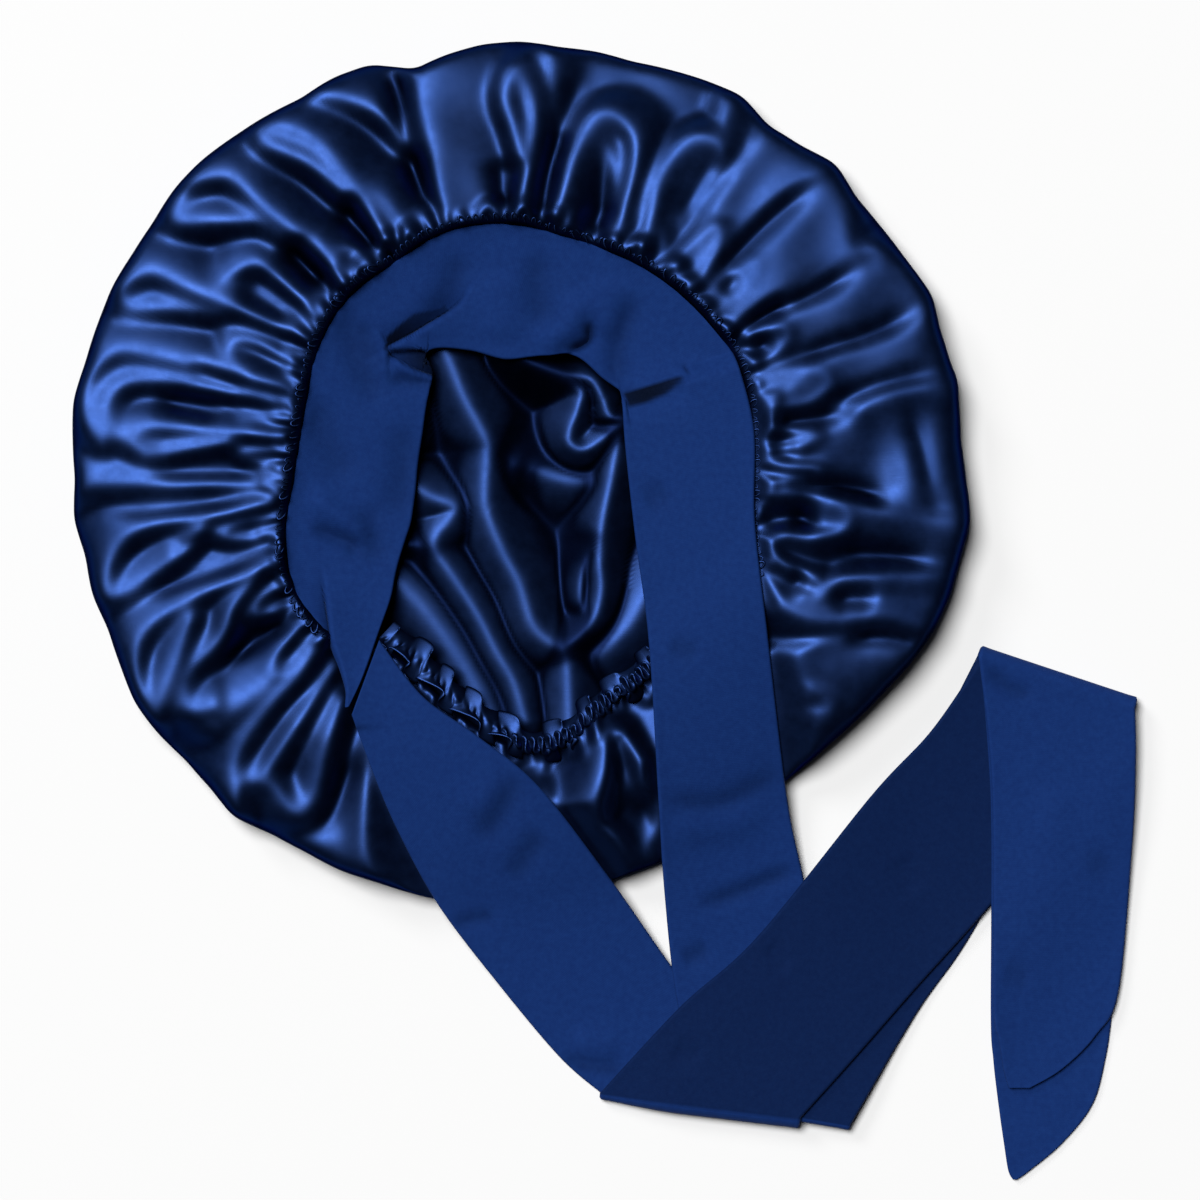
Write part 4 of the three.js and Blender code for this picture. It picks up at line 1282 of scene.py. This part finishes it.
satinLook = {
    "light": (0.0112, 0.0262, 0.092, 1),
    "dark": (0.0082, 0.0208, 0.077, 1),
    # how strongly painted shade darkens the satin, and the colour it darkens towards
    "paintedShadeStrength": 0.94,
    "paintedShadeColour": (0.0004, 0.001, 0.006, 1),
    "cloudScale": 60,
    "roughLow": 0.4,
    "roughHigh": 0.47,
    "roughScale": 160,
    "shader": {"Metallic": 1, "Specular Tint": (0.01, 0.03, 0.1, 1)},
    "streakScale": (90, 3200, 900),
    "streakTurn": (0, 0, 0.6),
    "bump": 0.12,
    "bumpDepth": 0.00006,
}
jerseyLook = {
    "light": (0.0042, 0.0185, 0.092, 1),
    "dark": (0.0032, 0.0142, 0.077, 1),
    # how strongly painted shade darkens the jersey, and the colour it darkens towards
    "paintedShadeStrength": 1,
    "paintedShadeColour": (0.0001, 0.0005, 0.004, 1),
    "cloudScale": 420,
    "roughLow": 0.74,
    "roughHigh": 0.86,
    "roughScale": 900,
    "shader": {"Specular IOR Level": 0.12, "Specular Tint": (0.3, 0.5, 1, 1), "Sheen Weight": 0.03,
               "Sheen Roughness": 0.5, "Sheen Tint": (0.2, 0.35, 0.8, 1)},
    "waleWidth": 0.0009,
    "courseHeight": 0.0007,
    "bump": 0.2,
    "bumpDepth": 0.0001,
}


# Cloudy change over a cloth, from Low to High
def mottleGroup():
    tree, given, leave, _ = newGroup(
        "cloth mottle", "ShaderNodeTree",
        [("Vector", "NodeSocketVector", None), ("Scale", "NodeSocketFloat", 200.0),
         ("Low", "NodeSocketFloat", 0.0), ("High", "NodeSocketFloat", 1.0)],
        [("Value", "NodeSocketFloat")])
    noise = addNode(tree, "ShaderNodeTexNoise", {"Vector": given["Vector"], "Scale": given["Scale"],
                                                 "Detail": 4, "Roughness": 0.6})
    spread = addNode(tree, "ShaderNodeMapRange", {
        "Value": noise.outputs["Fac"], "From Min": 0.3, "From Max": 0.7,
        "To Min": given["Low"], "To Max": given["High"]})
    feed(tree, leave.inputs["Value"], spread.outputs["Result"])
    return tree


# Knitted loops in columns of small Vs: x across the cloth and y along it, in metres
def knitGroup():
    tree, given, leave, _ = newGroup(
        "jersey knit", "ShaderNodeTree",
        [("Vector", "NodeSocketVector", None), ("Wale Width", "NodeSocketFloat", 0.001),
         ("Course Height", "NodeSocketFloat", 0.001)],
        [("Height", "NodeSocketFloat")])
    parts = addNode(tree, "ShaderNodeSeparateXYZ", {0: given["Vector"]}).outputs
    wale = mathNode(tree, "DIVIDE", parts["X"], given["Wale Width"])
    course = mathNode(tree, "DIVIDE", parts["Y"], given["Course Height"])
    slant = mathNode(tree, "PINGPONG", wale, 0.5)
    phase = mathNode(tree, "ADD", course, slant)
    loop = mathNode(tree, "SINE", mathNode(tree, "MULTIPLY", phase, 2 * math.pi))
    rib = mathNode(tree, "SINE", mathNode(tree, "MULTIPLY", slant, 2 * math.pi))
    height = mathNode(tree, "MULTIPLY", mathNode(tree, "ADD", loop, 1), mathNode(tree, "ADD", rib, 0.3))
    feed(tree, leave.inputs["Height"], height)
    return tree


def placedGroup(tree, group, inputs):
    return addNode(tree, "ShaderNodeGroup", inputs, node_tree=group).outputs[0]


def blendedColour(tree, factor, first, second):
    node = addNode(tree, "ShaderNodeMix", {0: factor}, data_type="RGBA")
    for socket, colour in zip(ofType(node.inputs, "RGBA"), (first, second)):
        feed(tree, socket, colour)
    return ofType(node.outputs, "RGBA")[0]


# What both cloths share: a cloudy colour that painted shade makes darker down in the folds and below
# overlaps, as the mesh's own attribute says, and a cloudy roughness
def clothMaterial(name, look, mottle):
    material = bpy.data.materials.new(name)
    material.use_nodes = True
    tree = material.node_tree
    shader = tree.nodes["Principled BSDF"]
    for label, value in look["shader"].items():
        shader.inputs[label].default_value = value
    spot = addNode(tree, "ShaderNodeTexCoord").outputs
    cloud = placedGroup(tree, mottle, {"Vector": spot["Object"], "Scale": look["cloudScale"]})
    # painted shade: the colour is mixed towards the shade colour by the mesh's darkening attribute
    paintedShade = addNode(tree, "ShaderNodeAttribute", attribute_name="paintedShade").outputs["Fac"]
    depth = mathNode(tree, "MULTIPLY", paintedShade, look["paintedShadeStrength"])
    colour = blendedColour(tree, cloud, look["dark"], look["light"])
    feed(tree, shader.inputs["Base Color"], blendedColour(tree, depth, colour, look["paintedShadeColour"]))
    rough = placedGroup(tree, mottle, {"Vector": spot["Object"], "Scale": look["roughScale"],
                                       "Low": look["roughLow"], "High": look["roughHigh"]})
    feed(tree, shader.inputs["Roughness"], rough)
    return material, shader, spot


def addBump(tree, shader, look, height):
    bump = addNode(tree, "ShaderNodeBump", {"Strength": look["bump"], "Distance": look["bumpDepth"],
                                            "Height": height})
    feed(tree, shader.inputs["Normal"], bump.outputs["Normal"])


def satinMaterial(mottle):
    material, shader, spot = clothMaterial("navy satin", satinLook, mottle)
    tree = material.node_tree
    # fine streaks along the threads
    stretched = addNode(tree, "ShaderNodeMapping", {
        "Vector": spot["Object"], "Scale": satinLook["streakScale"], "Rotation": satinLook["streakTurn"]})
    streak = placedGroup(tree, mottle, {"Vector": stretched.outputs["Vector"], "Scale": 1})
    addBump(tree, shader, satinLook, streak)
    return material


def jerseyMaterial(mottle, knit):
    material, shader, spot = clothMaterial("navy jersey", jerseyLook, mottle)
    tree = material.node_tree
    loops = placedGroup(tree, knit, {"Vector": spot["UV"], "Wale Width": jerseyLook["waleWidth"],
                                     "Course Height": jerseyLook["courseHeight"]})
    addBump(tree, shader, jerseyLook, loops)
    return material


# Camera, floor and light

studio = {
    "viewWidth": 0.48,
    "viewCentre": (0.0316, -0.048),
    "cameraHeight": 2.2,
    "sensor": 36,
    "floorHalf": 6,
    "floorDrop": 0.0002,
    "floorColour": (0.55, 0.55, 0.55, 1),
    "floorRoughness": 0.9,
    "worldStrength": 0.015,
    # place, width and power
    "key": ((-7.7, 7.9, 27.2), 15, 15100),
    "side": ((-17, 17.6, 16.6), 10, 3000),
}

scene = bpy.context.scene
scene.view_settings.view_transform = "Standard"
cameraData = bpy.data.cameras.new("overhead camera")
cameraData.sensor_width = studio["sensor"]
cameraData.lens = studio["sensor"] * studio["cameraHeight"] / studio["viewWidth"]
camera = addObject("overhead camera", cameraData)
camera.location = (*studio["viewCentre"], studio["cameraHeight"])
scene.camera = camera

floorMesh = bpy.data.meshes.new("floor")
half = studio["floorHalf"]
floorMesh.from_pydata([(-half, -half, 0), (half, -half, 0), (half, half, 0), (-half, half, 0)], [],
                      [(0, 1, 2, 3)])
floor = addObject("floor", floorMesh)
floor.location.z = -studio["floorDrop"]
floorMaterial = bpy.data.materials.new("white floor")
floorMaterial.use_nodes = True
floorShader = floorMaterial.node_tree.nodes["Principled BSDF"]
floorShader.inputs["Base Color"].default_value = studio["floorColour"]
floorShader.inputs["Roughness"].default_value = studio["floorRoughness"]
floorMesh.materials.append(floorMaterial)


# A round light that points at the middle of the bonnet
def areaLight(name):
    place, width, power = studio[name]
    data = bpy.data.lights.new(name, "AREA")
    data.shape = "DISK"
    data.size = width
    data.energy = power
    light = addObject(name, data)
    light.location = place
    light.rotation_euler = (-Vector(place)).to_track_quat("-Z", "Y").to_euler()


areaLight("key")
areaLight("side")
world = bpy.data.worlds.new("studio")
scene.world = world
world.use_nodes = True
background = world.node_tree.nodes["Background"]
background.inputs["Color"].default_value = (1, 1, 1, 1)
background.inputs["Strength"].default_value = studio["worldStrength"]

clothMottle = mottleGroup()
satin = satinMaterial(clothMottle)
jersey = jerseyMaterial(clothMottle, knitGroup())

print("jersey band and ties")
band = bandAndRightTie()
band.data.materials.append(jersey)
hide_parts("head_band", "right_tie")
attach(band, "root")
tie = leftTie()
tie.data.materials.append(jersey)
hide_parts("left_tie")
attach(tie, "root")

print("nape casing")
casing = napeCasing()
casing.data.materials.append(satin)
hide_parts("nape_casing")
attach(casing, "root")

print("satin crown")
crown, seamRow = crownPiece()
crown.data.materials.append(satin)
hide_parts("satin_crown")
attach(crown, "root")

print("tucks at the seam")
tucks = seamTucks(satin, seamRow)
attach(tucks, "root")
